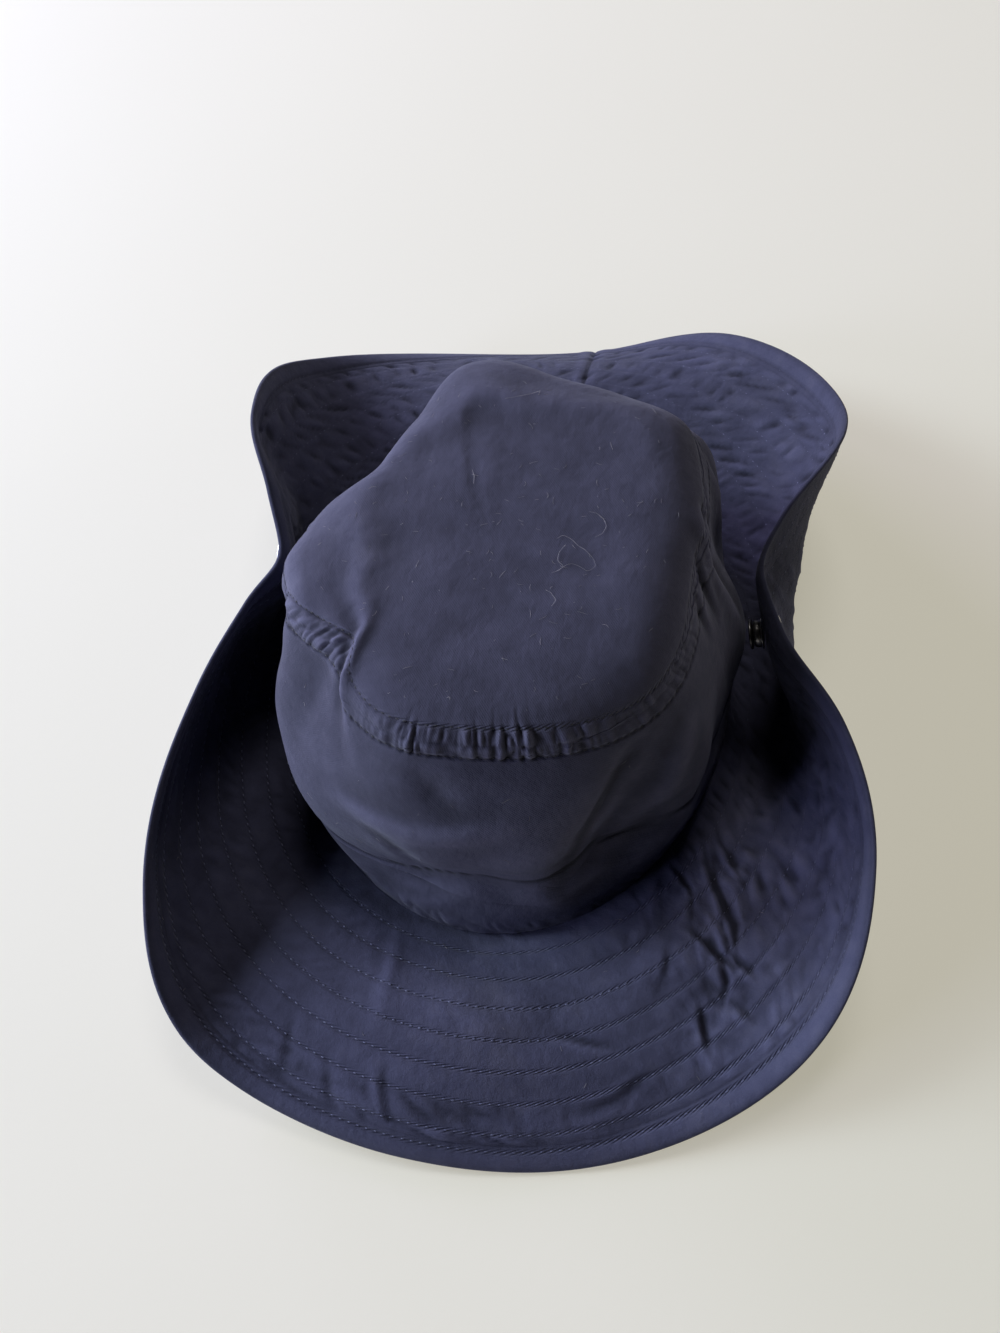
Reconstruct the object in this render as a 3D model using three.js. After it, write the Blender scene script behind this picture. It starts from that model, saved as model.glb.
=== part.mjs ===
// Sun hat: a soft crown on a wide stitched brim whose two sides are snapped up to the crown.
// Millimetres, +Z up. The front of the hat faces -Y, the wearer's right brim side lies at -X.
import * as THREE from 'three';

// Crown sizes
const HEAD_WIDTH = 165;
const HEAD_LENGTH = 207;
const CROWN_HEIGHT = 87;
const TIP_WIDTH = 134;
const TIP_LENGTH = 148;
const TIP_RISE = 11;
const TIP_LEAN_SIDE = -5;
const TIP_LEAN_BACK = -2;
const BAND_HEIGHT = 19;
const FOLDS_START = 0.22; // share of the crown's height over which the folds die out to the brim seam
const CROWN_WALL = 1.2;

// Brim sizes
const BRIM_WIDTH = 80;
const BRIM_WALL = 1.8;

// How the cloth pieces meet, and how the hat lies
const SEAM_GAP = 0.3;
const REST_PITCH = 1.5;
const REST_ROLL = 0;

// Press studs that hold the brim's sides up
const STUD_FLANGE_DIAMETER = 11;
const STUD_FLANGE_THICKNESS = 1;
const STUD_POST_DIAMETER = 4.4;
const STUD_POST_LENGTH = 2.8;
const SOCKET_DIAMETER = 10;
const SOCKET_THICKNESS = 3.4;
const SOCKET_CLEARANCE = 0.35;
const CAP_DIAMETER = 12.5;
const CAP_THICKNESS = 1.8;
const STUD_SEAT_GAP = 0.5;

// Fineness of the meshes
const STEPS_ROUND_CROWN = 72;
const STEPS_UP_CROWN = 9;
const STEPS_UP_BAND = 3;
const STEPS_ROUND_BRIM = 84;
const STEPS_ACROSS_BRIM = 13;
const STEPS_ALONG_CLOTH = 24;
const STEPS_ROUND_STUD = 16;

// Steps aside that show which way a cloth faces: round in degrees, and along it
const ASIDE_ROUND = 2;
const ASIDE_ALONG = 3;

// Outline of the crown at its tip seam: direction from the middle in degrees (0 to the hat's
// left, 90 to the back, 270 to the front) and reach as a share of the tip's plain oval.
const TIP_OUTLINE = [
  { at: 5, reach: 0.93 },
  { at: 30, reach: 1.04 },
  { at: 50, reach: 1.17 },
  { at: 79, reach: 0.98 },
  { at: 112, reach: 1.09 },
  { at: 133, reach: 0.87 },
  { at: 156, reach: 0.80 },
  { at: 191, reach: 0.96 },
  { at: 222, reach: 0.90 },
  { at: 252, reach: 0.93 },
  { at: 281, reach: 0.90 },
  { at: 306, reach: 0.93 },
  { at: 330, reach: 0.97 },
];

// Crown sections from the brim seam up: height as a share of the crown's height, how far the
// section has turned from the head oval into the tip outline, and its swell as a share of the
// head's width.
const CROWN_SECTIONS = [
  { height: 0.00, toward: 0.00, swell: 0.000 },
  { height: 0.10, toward: 0.05, swell: 0.001 },
  { height: 0.22, toward: 0.13, swell: 0.006 },
  { height: 0.40, toward: 0.28, swell: 0.015 },
  { height: 0.58, toward: 0.47, swell: 0.022 },
  { height: 0.75, toward: 0.67, swell: 0.021 },
  { height: 0.90, toward: 0.88, swell: 0.010 },
  { height: 1.00, toward: 1.00, swell: 0.000 },
];

// Tip sections from the seam to the middle: reach as a share of the outline, and rise as a
// share of the tip's rise.
const TIP_SECTIONS = [
  { reach: 1.00, rise: 0.00 },
  { reach: 0.97, rise: 0.34 },
  { reach: 0.91, rise: 0.62 },
  { reach: 0.81, rise: 0.84 },
  { reach: 0.64, rise: 0.95 },
  { reach: 0.34, rise: 1.00 },
];

// Folds and dents of the crown: direction in degrees at the fold's own height, that height as
// a share of the crown's height, depth outward (+) or inward (-) as a share of the head's
// width, half spread round in degrees, half reach up as a share of the height, and slant in
// degrees per crown height.
const CROWN_FOLDS = [
  { at: 312, height: 0.50, depth: -0.040, spread: 13, reach: 0.50, slant: 22 },
  { at: 331, height: 0.45, depth: 0.028, spread: 13, reach: 0.50, slant: 20 },
  { at: 291, height: 0.52, depth: 0.012, spread: 15, reach: 0.40, slant: 8 },
  { at: 266, height: 0.26, depth: -0.030, spread: 34, reach: 0.30, slant: 0 },
  { at: 224, height: 0.38, depth: 0.046, spread: 27, reach: 0.56, slant: -8 },
  { at: 214, height: 0.80, depth: 0.030, spread: 12, reach: 0.45, slant: 0 },
  { at: 200, height: 0.85, depth: -0.020, spread: 8, reach: 0.30, slant: 0 },
  { at: 173, height: 0.60, depth: 0.028, spread: 17, reach: 0.45, slant: 0 },
  { at: 153, height: 0.70, depth: -0.040, spread: 20, reach: 0.55, slant: 6 },
  { at: 112, height: 0.55, depth: 0.026, spread: 15, reach: 0.60, slant: 0 },
  { at: 80, height: 0.50, depth: -0.026, spread: 18, reach: 0.55, slant: 0 },
  { at: 48, height: 0.60, depth: 0.022, spread: 15, reach: 0.55, slant: 0 },
  { at: 24, height: 0.66, depth: -0.030, spread: 12, reach: 0.40, slant: 0 },
  { at: 7, height: 0.48, depth: 0.024, spread: 14, reach: 0.40, slant: 0 },
];

// Brim sections round the hat: direction in degrees, slope of the cloth above the level at
// the brim seam, half way out and at the edge in degrees, and how far the cloth turns round
// the hat on its way out in degrees.
const BRIM_SECTIONS = [
  { at: 0, start: -53, middle: 92, edge: 88, turn: -12 },
  { at: 22.5, start: 0, middle: 92, edge: 120, turn: -3 },
  { at: 45, start: 35, middle: 35, edge: 73, turn: 3 },
  { at: 67.5, start: 44, middle: 15, edge: 6, turn: 11 },
  { at: 90, start: 51, middle: -11, edge: -43, turn: 1 },
  { at: 112.5, start: 47, middle: -12, edge: -35, turn: -7 },
  { at: 135, start: 31, middle: 7, edge: 19, turn: -8 },
  { at: 157.5, start: 22, middle: 53, edge: 104, turn: -8 },
  { at: 180, start: -50, middle: 95, edge: 104, turn: 12 },
  { at: 202.5, start: -47, middle: 62, edge: 122, turn: 21 },
  { at: 225, start: -7, middle: 23, edge: 89, turn: 18 },
  { at: 247.5, start: 23, middle: 7, edge: -16, turn: 10 },
  { at: 270, start: 36, middle: 3, edge: -43, turn: -5 },
  { at: 292.5, start: 28, middle: -1, edge: -32, turn: -18 },
  { at: 315, start: 18, middle: 4, edge: 9, turn: -18 },
  { at: 337.5, start: -15, middle: 33, edge: 84, turn: -15 },
];

// Press studs: direction in degrees, place across the brim as a share of its width, and how
// far the pull on the cloth spreads round in degrees and across as a share of the width.
const STUDS = [
  { side: 'left', at: 8, across: 0.74, spread: 17, reach: 0.48 },
  { side: 'right', at: 172, across: 0.70, spread: 17, reach: 0.48 },
];

// Domed cap of a press stud: reach as a share of its radius, rise as a share of its thickness
const CAP_SECTIONS = [
  { reach: 0.00, rise: 0.00 },
  { reach: 1.00, rise: 0.00 },
  { reach: 1.00, rise: 0.40 },
  { reach: 0.75, rise: 0.85 },
  { reach: 0.40, rise: 1.00 },
  { reach: 0.00, rise: 1.00 },
];

// How far beyond a table's first and last rows its curve is led on, to end smoothly
const END_ROW_STEP = 0.1;

const cloth = () => new THREE.MeshStandardMaterial({ color: 0x3a3f5a, roughness: 0.88, metalness: 0 });
const metal = () => new THREE.MeshStandardMaterial({ color: 0x8f9095, roughness: 0.35, metalness: 1 });

// Smooth curve through a table's column, once round the hat
function roundColumn(rows, column, angle) {
  const count = rows.length;
  const turn = THREE.MathUtils.euclideanModulo(angle - rows[0].at, 360) + rows[0].at;
  let index = count - 1;
  while (index > 0 && rows[index].at > turn) index -= 1;
  const pick = (k) => rows[(k + count) % count][column];
  const place = (k) => rows[(k + count) % count].at + 360 * Math.floor(k / count);
  return hermite(pick, place, index, turn);
}

// Smooth curve through a table's column, from its first row to its last
function alongColumn(rows, key, column, value) {
  const last = rows.length - 1;
  let index = last - 1;
  while (index > 0 && rows[index][key] > value) index -= 1;
  const kept = (k) => THREE.MathUtils.clamp(k, 0, last);
  const pick = (k) => rows[kept(k)][column];
  const place = (k) => rows[kept(k)][key] + (k - kept(k)) * END_ROW_STEP;
  return hermite(pick, place, index, value);
}

function hermite(pick, place, index, value) {
  const [x0, x1, x2, x3] = [-1, 0, 1, 2].map((k) => place(index + k));
  const [y0, y1, y2, y3] = [-1, 0, 1, 2].map((k) => pick(index + k));
  const width = x2 - x1;
  const share = (value - x1) / width;
  const m1 = ((y2 - y0) / (x2 - x0)) * width;
  const m2 = ((y3 - y1) / (x3 - x1)) * width;
  const s2 = share * share;
  const s3 = s2 * share;
  return (2 * s3 - 3 * s2 + 1) * y1 + (s3 - 2 * s2 + share) * m1 + (3 * s2 - 2 * s3) * y2 + (s3 - s2) * m2;
}

// Smooth hump that is 1 over its flat middle and 0 at one spread away
function hump(distance, spread, flat = 0) {
  const share = (Math.abs(distance) - flat) / (spread - flat);
  return Math.cos((THREE.MathUtils.clamp(share, 0, 1) * Math.PI) / 2) ** 2;
}

// Shortest way round from one direction to another, in degrees
function turnBetween(from, to) {
  return THREE.MathUtils.euclideanModulo(to - from + 180, 360) - 180;
}

// Head oval at the brim seam, with its outward and forward directions
function headOval(angle) {
  const turn = THREE.MathUtils.degToRad(angle);
  const [halfWidth, halfLength] = [HEAD_WIDTH / 2, HEAD_LENGTH / 2];
  const point = new THREE.Vector3(halfWidth * Math.cos(turn), halfLength * Math.sin(turn), 0);
  const forward = new THREE.Vector3(-halfWidth * Math.sin(turn), halfLength * Math.cos(turn), 0).normalize();
  const outward = new THREE.Vector3(forward.y, -forward.x, 0);
  return { point, forward, outward };
}

// Crown's tip outline at the same direction
function tipOutline(angle, reach) {
  const turn = THREE.MathUtils.degToRad(angle);
  const share = roundColumn(TIP_OUTLINE, 'reach', angle) * reach;
  return new THREE.Vector3(
    TIP_LEAN_SIDE + (TIP_WIDTH / 2) * Math.cos(turn) * share,
    TIP_LEAN_BACK + (TIP_LENGTH / 2) * Math.sin(turn) * share,
    0,
  );
}

// Depth of all the crown's folds at a place; the brim seam holds the cloth in its oval
function foldDepth(angle, height) {
  const held = 1 - hump(height, FOLDS_START);
  let depth = 0;
  for (const fold of CROWN_FOLDS) {
    const middle = fold.at + fold.slant * (height - fold.height);
    const round = hump(turnBetween(middle, angle), fold.spread);
    const up = hump(height - fold.height, fold.reach);
    depth += fold.depth * HEAD_WIDTH * round * up;
  }
  return depth * held;
}

// Middle of the crown's wall, at a share of its height
function crownPoint(height, angle) {
  const { point, outward } = headOval(angle);
  const inset = SEAM_GAP + CROWN_WALL / 2;
  const toward = alongColumn(CROWN_SECTIONS, 'height', 'toward', height);
  const swell = alongColumn(CROWN_SECTIONS, 'height', 'swell', height) * HEAD_WIDTH;
  point.addScaledVector(outward, -inset).lerp(tipOutline(angle, 1), toward);
  point.addScaledVector(outward, swell + foldDepth(angle, height));
  point.z = height * CROWN_HEIGHT;
  return point;
}

// Middle of the tip's wall, at a row of its table
function tipPoint(section, angle) {
  const point = tipOutline(angle, section.reach);
  const { outward } = headOval(angle);
  const height = 1 + ((1 - section.reach) * TIP_WIDTH) / 2 / CROWN_HEIGHT;
  point.addScaledVector(outward, foldDepth(angle, height) * section.reach);
  point.z = CROWN_HEIGHT + section.rise * TIP_RISE;
  return point;
}

// Middle of the brim's cloth before the studs pull it in, found by walking out from the seam
function brimRun(angle, along) {
  const { point, forward, outward } = headOval(angle);
  const columns = ['start', 'middle', 'edge', 'turn'].map((name) => roundColumn(BRIM_SECTIONS, name, angle));
  const [start, middle, edge, turn] = columns.map(THREE.MathUtils.degToRad);
  const length = along / STEPS_ALONG_CLOTH;
  for (let step = 0; step < STEPS_ALONG_CLOTH; step += 1) {
    const x = ((step + 0.5) * length) / BRIM_WIDTH;
    const slope = (2 * x - 1) * (x - 1) * start + 4 * x * (1 - x) * middle + x * (2 * x - 1) * edge;
    point.addScaledVector(outward, length * Math.cos(slope) * Math.cos(turn * x));
    point.addScaledVector(forward, length * Math.cos(slope) * Math.sin(turn * x));
    point.z += length * Math.sin(slope);
  }
  return point;
}

// Distance from a point outside the crown to its wall, along a level direction
function distanceToCrown(from, direction, height) {
  let nearest = Infinity;
  for (let step = 0; step < STEPS_ROUND_CROWN; step += 1) {
    const a = crownPoint(height, (360 * step) / STEPS_ROUND_CROWN);
    const b = crownPoint(height, (360 * (step + 1)) / STEPS_ROUND_CROWN);
    const side = (p) => (p.x - from.x) * direction.y - (p.y - from.y) * direction.x;
    const [sideA, sideB] = [side(a), side(b)];
    if (sideA * sideB > 0) continue;
    const hit = a.clone().lerp(b, sideA / (sideA - sideB));
    const reach = (hit.x - from.x) * direction.x + (hit.y - from.y) * direction.y;
    if (reach > 0) nearest = Math.min(nearest, reach);
  }
  return nearest;
}

// Outward direction of a cloth surface, from steps along it and round the hat
function clothNormal(pointAt) {
  const along = pointAt(0, 1).sub(pointAt(0, -1));
  const round = pointAt(1, 0).sub(pointAt(-1, 0));
  return round.cross(along).normalize();
}

// Each closed stud stands square between crown and brim, so both cloths turn away from it by
// half their own difference. The brim is pulled in until the stud seats on both.
const studAxes = STUDS.map((stud) => {
  const along = stud.across * BRIM_WIDTH;
  const from = brimRun(stud.at, along);
  const inward = headOval(stud.at).outward.negate();
  const height = from.z / CROWN_HEIGHT;
  const upCrown = ASIDE_ALONG / CROWN_HEIGHT;
  const crownFace = clothNormal((round, up) => crownPoint(height + upCrown * up, stud.at + ASIDE_ROUND * round));
  const brimFace = clothNormal((round, up) => brimRun(stud.at + ASIDE_ROUND * round, along + ASIDE_ALONG * up));
  if (brimFace.dot(inward) > 0) brimFace.negate();
  const outward = crownFace.clone().add(brimFace).normalize();
  const seat = STUD_SEAT_GAP + (CAP_DIAMETER / 2) * Math.sin(outward.angleTo(crownFace));
  const room = 2 * seat + STUD_FLANGE_THICKNESS + SEAM_GAP + SOCKET_THICKNESS;
  const free = distanceToCrown(from, inward, height) - (CROWN_WALL + BRIM_WALL) / 2;
  const pull = free - room / outward.dot(inward.clone().negate());
  const middle = from.clone().addScaledVector(inward, pull);
  return { ...stud, inward, outward, seat, pull, middle };
});

// Middle of the brim's cloth, pulled in to the closed studs and flat where they hold it
function brimPoint(angle, along) {
  const point = brimRun(angle, along);
  const flat = CAP_DIAMETER / 2;
  const flatRound = THREE.MathUtils.radToDeg(flat / (HEAD_WIDTH / 2));
  for (const stud of studAxes) {
    const round = hump(turnBetween(stud.at, angle), stud.spread, flatRound);
    const across = hump(along / BRIM_WIDTH - stud.across, stud.reach, flat / BRIM_WIDTH);
    point.addScaledVector(stud.inward, stud.pull * round * across);
  }
  return point;
}

// Closed wall round the hat: rings of middle points, given half the wall to each side. The
// wall's first and last rings are open edges, or its last ring closes on a peak point. Where
// a wall starts against an upright one, its first edge is cut upright too.
function wallGeometry(rings, thickness, { peak, uprightStart } = {}) {
  const count = rings[0].length;
  const at = (i, j) => rings[i][(j + count) % count];
  const last = rings.length - 1;
  const faces = [[], []];
  rings.forEach((ring, i) => {
    ring.forEach((point, j) => {
      const round = at(i, j + 1).clone().sub(at(i, j - 1));
      const above = i === last && peak ? peak : at(Math.min(i + 1, last), j);
      const along = above.clone().sub(at(Math.max(i - 1, 0), j));
      const normal = round.cross(along).normalize();
      if (i === 0 && uprightStart) normal.set(0, 0, Math.sign(normal.z));
      faces[0].push(point.clone().addScaledVector(normal, thickness / 2));
      faces[1].push(point.clone().addScaledVector(normal, -thickness / 2));
    });
  });
  const points = [...faces[0], ...faces[1]];
  const total = faces[0].length;
  const triangles = [];
  const quad = (a, b, c, d) => triangles.push([a, b, c], [a, c, d]);
  for (let i = 0; i < last; i += 1) {
    for (let j = 0; j < count; j += 1) {
      const next = (j + 1) % count;
      const [a, b, c, d] = [i * count + j, i * count + next, (i + 1) * count + next, (i + 1) * count + j];
      quad(a, b, c, d);
      quad(total + b, total + a, total + d, total + c);
    }
  }
  const top = last * count;
  if (peak) {
    points.push(peak.clone().add(new THREE.Vector3(0, 0, thickness / 2)));
    points.push(peak.clone().add(new THREE.Vector3(0, 0, -thickness / 2)));
  }
  for (let j = 0; j < count; j += 1) {
    const next = (j + 1) % count;
    quad(total + j, total + next, next, j);
    if (peak) {
      triangles.push([top + j, top + next, 2 * total]);
      triangles.push([total + top + next, total + top + j, 2 * total + 1]);
    } else {
      quad(top + j, top + next, total + top + next, total + top + j);
    }
  }
  const geometry = new THREE.BufferGeometry().setFromPoints(points);
  geometry.setIndex(triangles.flat());
  geometry.computeVertexNormals();
  return geometry;
}

function ringOf(steps, pointAt) {
  return Array.from({ length: steps }, (_, j) => pointAt((360 * j) / steps));
}

// Rings of the crown's wall between two shares of its height
function crownRings(low, high, steps) {
  return Array.from({ length: steps + 1 }, (_, i) => {
    const height = low + ((high - low) * i) / steps;
    return ringOf(STEPS_ROUND_CROWN, (angle) => crownPoint(height, angle));
  });
}

function named(name, geometry, material) {
  const mesh = new THREE.Mesh(geometry, material);
  mesh.name = name;
  return mesh;
}

// Crown side, between the base stitching and the tip seam
function crownSide() {
  const low = (BAND_HEIGHT + SEAM_GAP / 2) / CROWN_HEIGHT;
  const high = 1 - SEAM_GAP / 2 / CROWN_HEIGHT;
  return named('crown_side', wallGeometry(crownRings(low, high, STEPS_UP_CROWN), CROWN_WALL), cloth());
}

// Base band, between the brim seam and the base stitching
function baseBand() {
  const high = (BAND_HEIGHT - SEAM_GAP / 2) / CROWN_HEIGHT;
  return named('base_band', wallGeometry(crownRings(0, high, STEPS_UP_BAND), CROWN_WALL), cloth());
}

// Crown tip, from the tip seam to its middle
function crownTip() {
  const lift = new THREE.Vector3(0, 0, SEAM_GAP / 2);
  const rings = TIP_SECTIONS.map((section) => (
    ringOf(STEPS_ROUND_CROWN, (angle) => tipPoint(section, angle).add(lift))
  ));
  const peak = new THREE.Vector3(TIP_LEAN_SIDE, TIP_LEAN_BACK, CROWN_HEIGHT + TIP_RISE).add(lift);
  return named('crown_tip', wallGeometry(rings, CROWN_WALL, { peak }), cloth());
}

// Brim, from the brim seam to its edge
function brim() {
  const rings = Array.from({ length: STEPS_ACROSS_BRIM + 1 }, (_, i) => {
    const along = (BRIM_WIDTH * i) / STEPS_ACROSS_BRIM;
    return ringOf(STEPS_ROUND_BRIM, (angle) => brimPoint(angle, along));
  });
  return named('brim', wallGeometry(rings, BRIM_WALL, { uprightStart: true }), cloth());
}

// Turned piece on a stud's axis: a profile of radius and place outward, from a starting place
function turned(name, stud, start, profile) {
  const outline = profile.map(([radius, place]) => new THREE.Vector2(radius, place));
  const mesh = named(name, new THREE.LatheGeometry(outline, STEPS_ROUND_STUD), metal());
  mesh.quaternion.setFromUnitVectors(new THREE.Vector3(0, 1, 0), stud.outward);
  mesh.position.copy(stud.middle).addScaledVector(stud.outward, start);
  return mesh;
}

// Stud on the crown, with the post that snaps into the socket
function studPiece(stud) {
  const flange = STUD_FLANGE_DIAMETER / 2;
  const post = STUD_POST_DIAMETER / 2;
  const top = STUD_FLANGE_THICKNESS + STUD_POST_LENGTH;
  const start = -BRIM_WALL / 2 - stud.seat - SOCKET_THICKNESS - SEAM_GAP - STUD_FLANGE_THICKNESS;
  return turned(`${stud.side}_stud`, stud, start, [
    [0, 0],
    [flange, 0],
    [flange, STUD_FLANGE_THICKNESS],
    [post, STUD_FLANGE_THICKNESS],
    [post, top],
    [0, top],
  ]);
}

// Socket on the brim's inner face, open towards the stud
function socketPiece(stud) {
  const radius = SOCKET_DIAMETER / 2;
  const hole = STUD_POST_DIAMETER / 2 + SOCKET_CLEARANCE;
  const depth = STUD_POST_LENGTH - SEAM_GAP + SOCKET_CLEARANCE;
  return turned(`${stud.side}_socket`, stud, -BRIM_WALL / 2 - stud.seat - SOCKET_THICKNESS, [
    [0, depth],
    [hole, depth],
    [hole, 0],
    [radius, 0],
    [radius, SOCKET_THICKNESS],
    [0, SOCKET_THICKNESS],
  ]);
}

// Domed cap on the brim's outer face
function capPiece(stud) {
  const profile = CAP_SECTIONS.map(({ reach, rise }) => [(reach * CAP_DIAMETER) / 2, rise * CAP_THICKNESS]);
  return turned(`${stud.side}_cap`, stud, BRIM_WALL / 2 + stud.seat, profile);
}

// The hat lies as it rests by itself, with its lowest point on the ground and the middle of
// its outline over the origin.
function rested(pieces) {
  const tilted = new THREE.Group();
  tilted.add(...pieces);
  tilted.rotation.set(THREE.MathUtils.degToRad(REST_PITCH), THREE.MathUtils.degToRad(REST_ROLL), 0);
  tilted.updateMatrixWorld(true);
  const box = new THREE.Box3().setFromObject(tilted, true);
  const middle = box.getCenter(new THREE.Vector3());
  tilted.position.set(-middle.x, -middle.y, -box.min.z);
  const placed = new THREE.Group();
  placed.add(tilted);
  return placed;
}

const studs = studAxes.flatMap((stud) => [studPiece(stud), socketPiece(stud), capPiece(stud)]);
const hat = rested([crownTip(), crownSide(), baseBand(), brim(), ...studs]);
hat.name = 'sun_hat';

export default hat;
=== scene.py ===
"""Sun hat: stitched cloth brim and crown, press studs, and the stage they are shown on."""

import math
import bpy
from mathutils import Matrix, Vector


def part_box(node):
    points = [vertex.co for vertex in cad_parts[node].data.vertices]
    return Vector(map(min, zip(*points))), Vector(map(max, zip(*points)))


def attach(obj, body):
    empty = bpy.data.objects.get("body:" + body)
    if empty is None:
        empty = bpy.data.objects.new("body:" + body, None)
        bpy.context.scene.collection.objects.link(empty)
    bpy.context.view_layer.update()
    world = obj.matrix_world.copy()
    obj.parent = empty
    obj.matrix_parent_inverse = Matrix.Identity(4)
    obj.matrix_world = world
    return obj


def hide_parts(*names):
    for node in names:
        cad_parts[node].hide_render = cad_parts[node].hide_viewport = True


bl_info = {
    "name": "Sun Hat",
    "version": (1, 0, 0),
    "blender": (4, 5, 0),
    "location": "3D View > Sidebar > Sun Hat",
    "description": "Makes a soft cloth sun hat with a stitched brim and press studs",
    "category": "Add Mesh",
}

import bpy
import numpy as np
from mathutils import Matrix, Vector

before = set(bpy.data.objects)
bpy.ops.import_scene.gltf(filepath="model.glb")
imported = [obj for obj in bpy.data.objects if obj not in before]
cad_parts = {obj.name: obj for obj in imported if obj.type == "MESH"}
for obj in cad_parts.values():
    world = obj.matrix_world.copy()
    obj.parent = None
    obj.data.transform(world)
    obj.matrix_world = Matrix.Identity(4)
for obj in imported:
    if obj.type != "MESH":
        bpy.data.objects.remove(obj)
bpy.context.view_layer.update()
MM = 0.001


# Shape of the hat, in millimetres and degrees

HEAD_WIDTH = 165.0
HEAD_LENGTH = 207.0
CROWN_HEIGHT = 87.0
TIP_WIDTH = 134.0
TIP_LENGTH = 148.0
TIP_RISE = 11.0
TIP_LEAN = (-5.0, -2.0)
BAND_HEIGHT = 19.0
FOLDS_START = 0.22
CROWN_WALL = 1.2
BRIM_WIDTH = 80.0
BRIM_WALL = 1.8
SEAM_GAP = 0.3
REST_PITCH = 1.5
BACK = 90.0
HEAD_ROUND = 585.0


def table(columns, rows):
    """Columns of a table by name"""
    values = np.array(rows, float).T
    return dict(zip(columns.split(), values))


TIP_OUTLINE = table("at reach", [
    (5, 0.93), (30, 1.04), (50, 1.17), (79, 0.98), (112, 1.09), (133, 0.87), (156, 0.80),
    (191, 0.96), (222, 0.90), (252, 0.93), (281, 0.90), (306, 0.93), (330, 0.97),
])

CROWN_SECTIONS = table("height toward swell", [
    (0.00, 0.00, 0.000),
    (0.10, 0.05, 0.001),
    (0.22, 0.13, 0.006),
    (0.40, 0.28, 0.015),
    (0.58, 0.47, 0.022),
    (0.75, 0.67, 0.021),
    (0.90, 0.88, 0.010),
    (1.00, 1.00, 0.000),
])

TIP_SECTIONS = table("row reach rise", [
    (0, 1.00, 0.00),
    (1, 0.97, 0.34),
    (2, 0.91, 0.62),
    (3, 0.81, 0.84),
    (4, 0.64, 0.95),
    (5, 0.34, 1.00),
    (6, 0.00, 1.00),
])

CROWN_FOLDS = table("at height depth spread reach slant", [
    (312, 0.50, -0.040, 13, 0.50, 22),
    (331, 0.45, 0.028, 13, 0.50, 20),
    (291, 0.52, 0.012, 15, 0.40, 8),
    (266, 0.26, -0.030, 34, 0.30, 0),
    (224, 0.38, 0.046, 27, 0.56, -8),
    (214, 0.80, 0.030, 12, 0.45, 0),
    (200, 0.85, -0.020, 8, 0.30, 0),
    (173, 0.60, 0.028, 17, 0.45, 0),
    (153, 0.70, -0.040, 20, 0.55, 6),
    (112, 0.55, 0.026, 15, 0.60, 0),
    (80, 0.50, -0.026, 18, 0.55, 0),
    (48, 0.60, 0.022, 15, 0.55, 0),
    (24, 0.66, -0.030, 12, 0.40, 0),
    (7, 0.48, 0.024, 14, 0.40, 0),
])

BRIM_SECTIONS = table("at start middle edge turn", [
    (0, -53, 92, 88, -12),
    (22.5, 0, 92, 120, -3),
    (45, 35, 35, 73, 3),
    (67.5, 44, 15, 6, 11),
    (90, 51, -11, -43, 1),
    (112.5, 47, -12, -35, -7),
    (135, 31, 7, 19, -8),
    (157.5, 22, 53, 104, -8),
    (180, -50, 95, 104, 12),
    (202.5, -47, 62, 122, 21),
    (225, -7, 23, 89, 18),
    (247.5, 23, 7, -16, 10),
    (270, 36, 3, -43, -5),
    (292.5, 28, -1, -32, -18),
    (315, 18, 4, 9, -18),
    (337.5, -15, 33, 84, -15),
])

# Press studs: direction, place across the brim as a share of its width, pull on the brim's
# cloth, and how far that pull spreads round in degrees and across as a share of the width
STUD_PULLS = table("at across pull spread reach", [
    (8, 0.74, 9.24, 17, 0.48),
    (172, 0.70, 14.85, 17, 0.48),
])
STUD_CAP_DIAMETER = 12.5

# Axes of the closed studs before the hat is tilted: middle of the brim's cloth, outward way,
# and the gap each stud keeps to the cloth
STUD_AXES = (
    ("left", (88.72, 15.28, 38.56), (0.9455, 0.1317, 0.2978), 1.473),
    ("right", (-91.77, 15.20, 36.37), (-0.9928, -0.0634, 0.1017), 2.469),
)

# Sizes along the studs' axes, and the number of sides they are turned with
SOCKET_THICKNESS = 3.4
STUD_FLANGE = 1.0
RIM_SEAT = 0.55
STUD_SIDES = 48

# Profiles of the studs: radius and place outward along the axis
STUD_PROFILE = (
    (0, 0), (5.1, 0.0), (5.4, 0.12), (5.5, 0.4), (5.45, 0.75), (5.15, 0.95), (3.2, 0.98), (2.5, 1.05), (2.2, 1.4),
    (2.05, 2.2), (2.2, 2.7), (2.2, 3.2), (1.9, 3.6), (1.2, 3.78), (0, 3.8),
)
SOCKET_PROFILE = (
    (0, 0.95), (1.4, 0.95), (2.55, 0.8), (2.55, 0.35), (2.75, 0.05), (3.2, 0.0), (4.1, 0.1), (4.7, 0.45), (4.95, 0.9),
    (4.95, 2.7), (4.8, 2.82), (0, 2.82),
)
RIM_PROFILE = ((0, 0.0), (5.2, 0.0), (5.5, 0.08), (5.6, 0.25), (5.5, 0.42), (5.2, 0.5), (0, 0.5))
CAP_PROFILE = (
    (0, 0.0), (5.9, 0.0), (6.15, 0.08), (6.25, 0.3), (6.15, 0.6), (5.7, 0.95), (4.9, 1.3), (3.7, 1.58), (2.3, 1.74),
    (1.0, 1.79), (0, 1.8),
)

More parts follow.
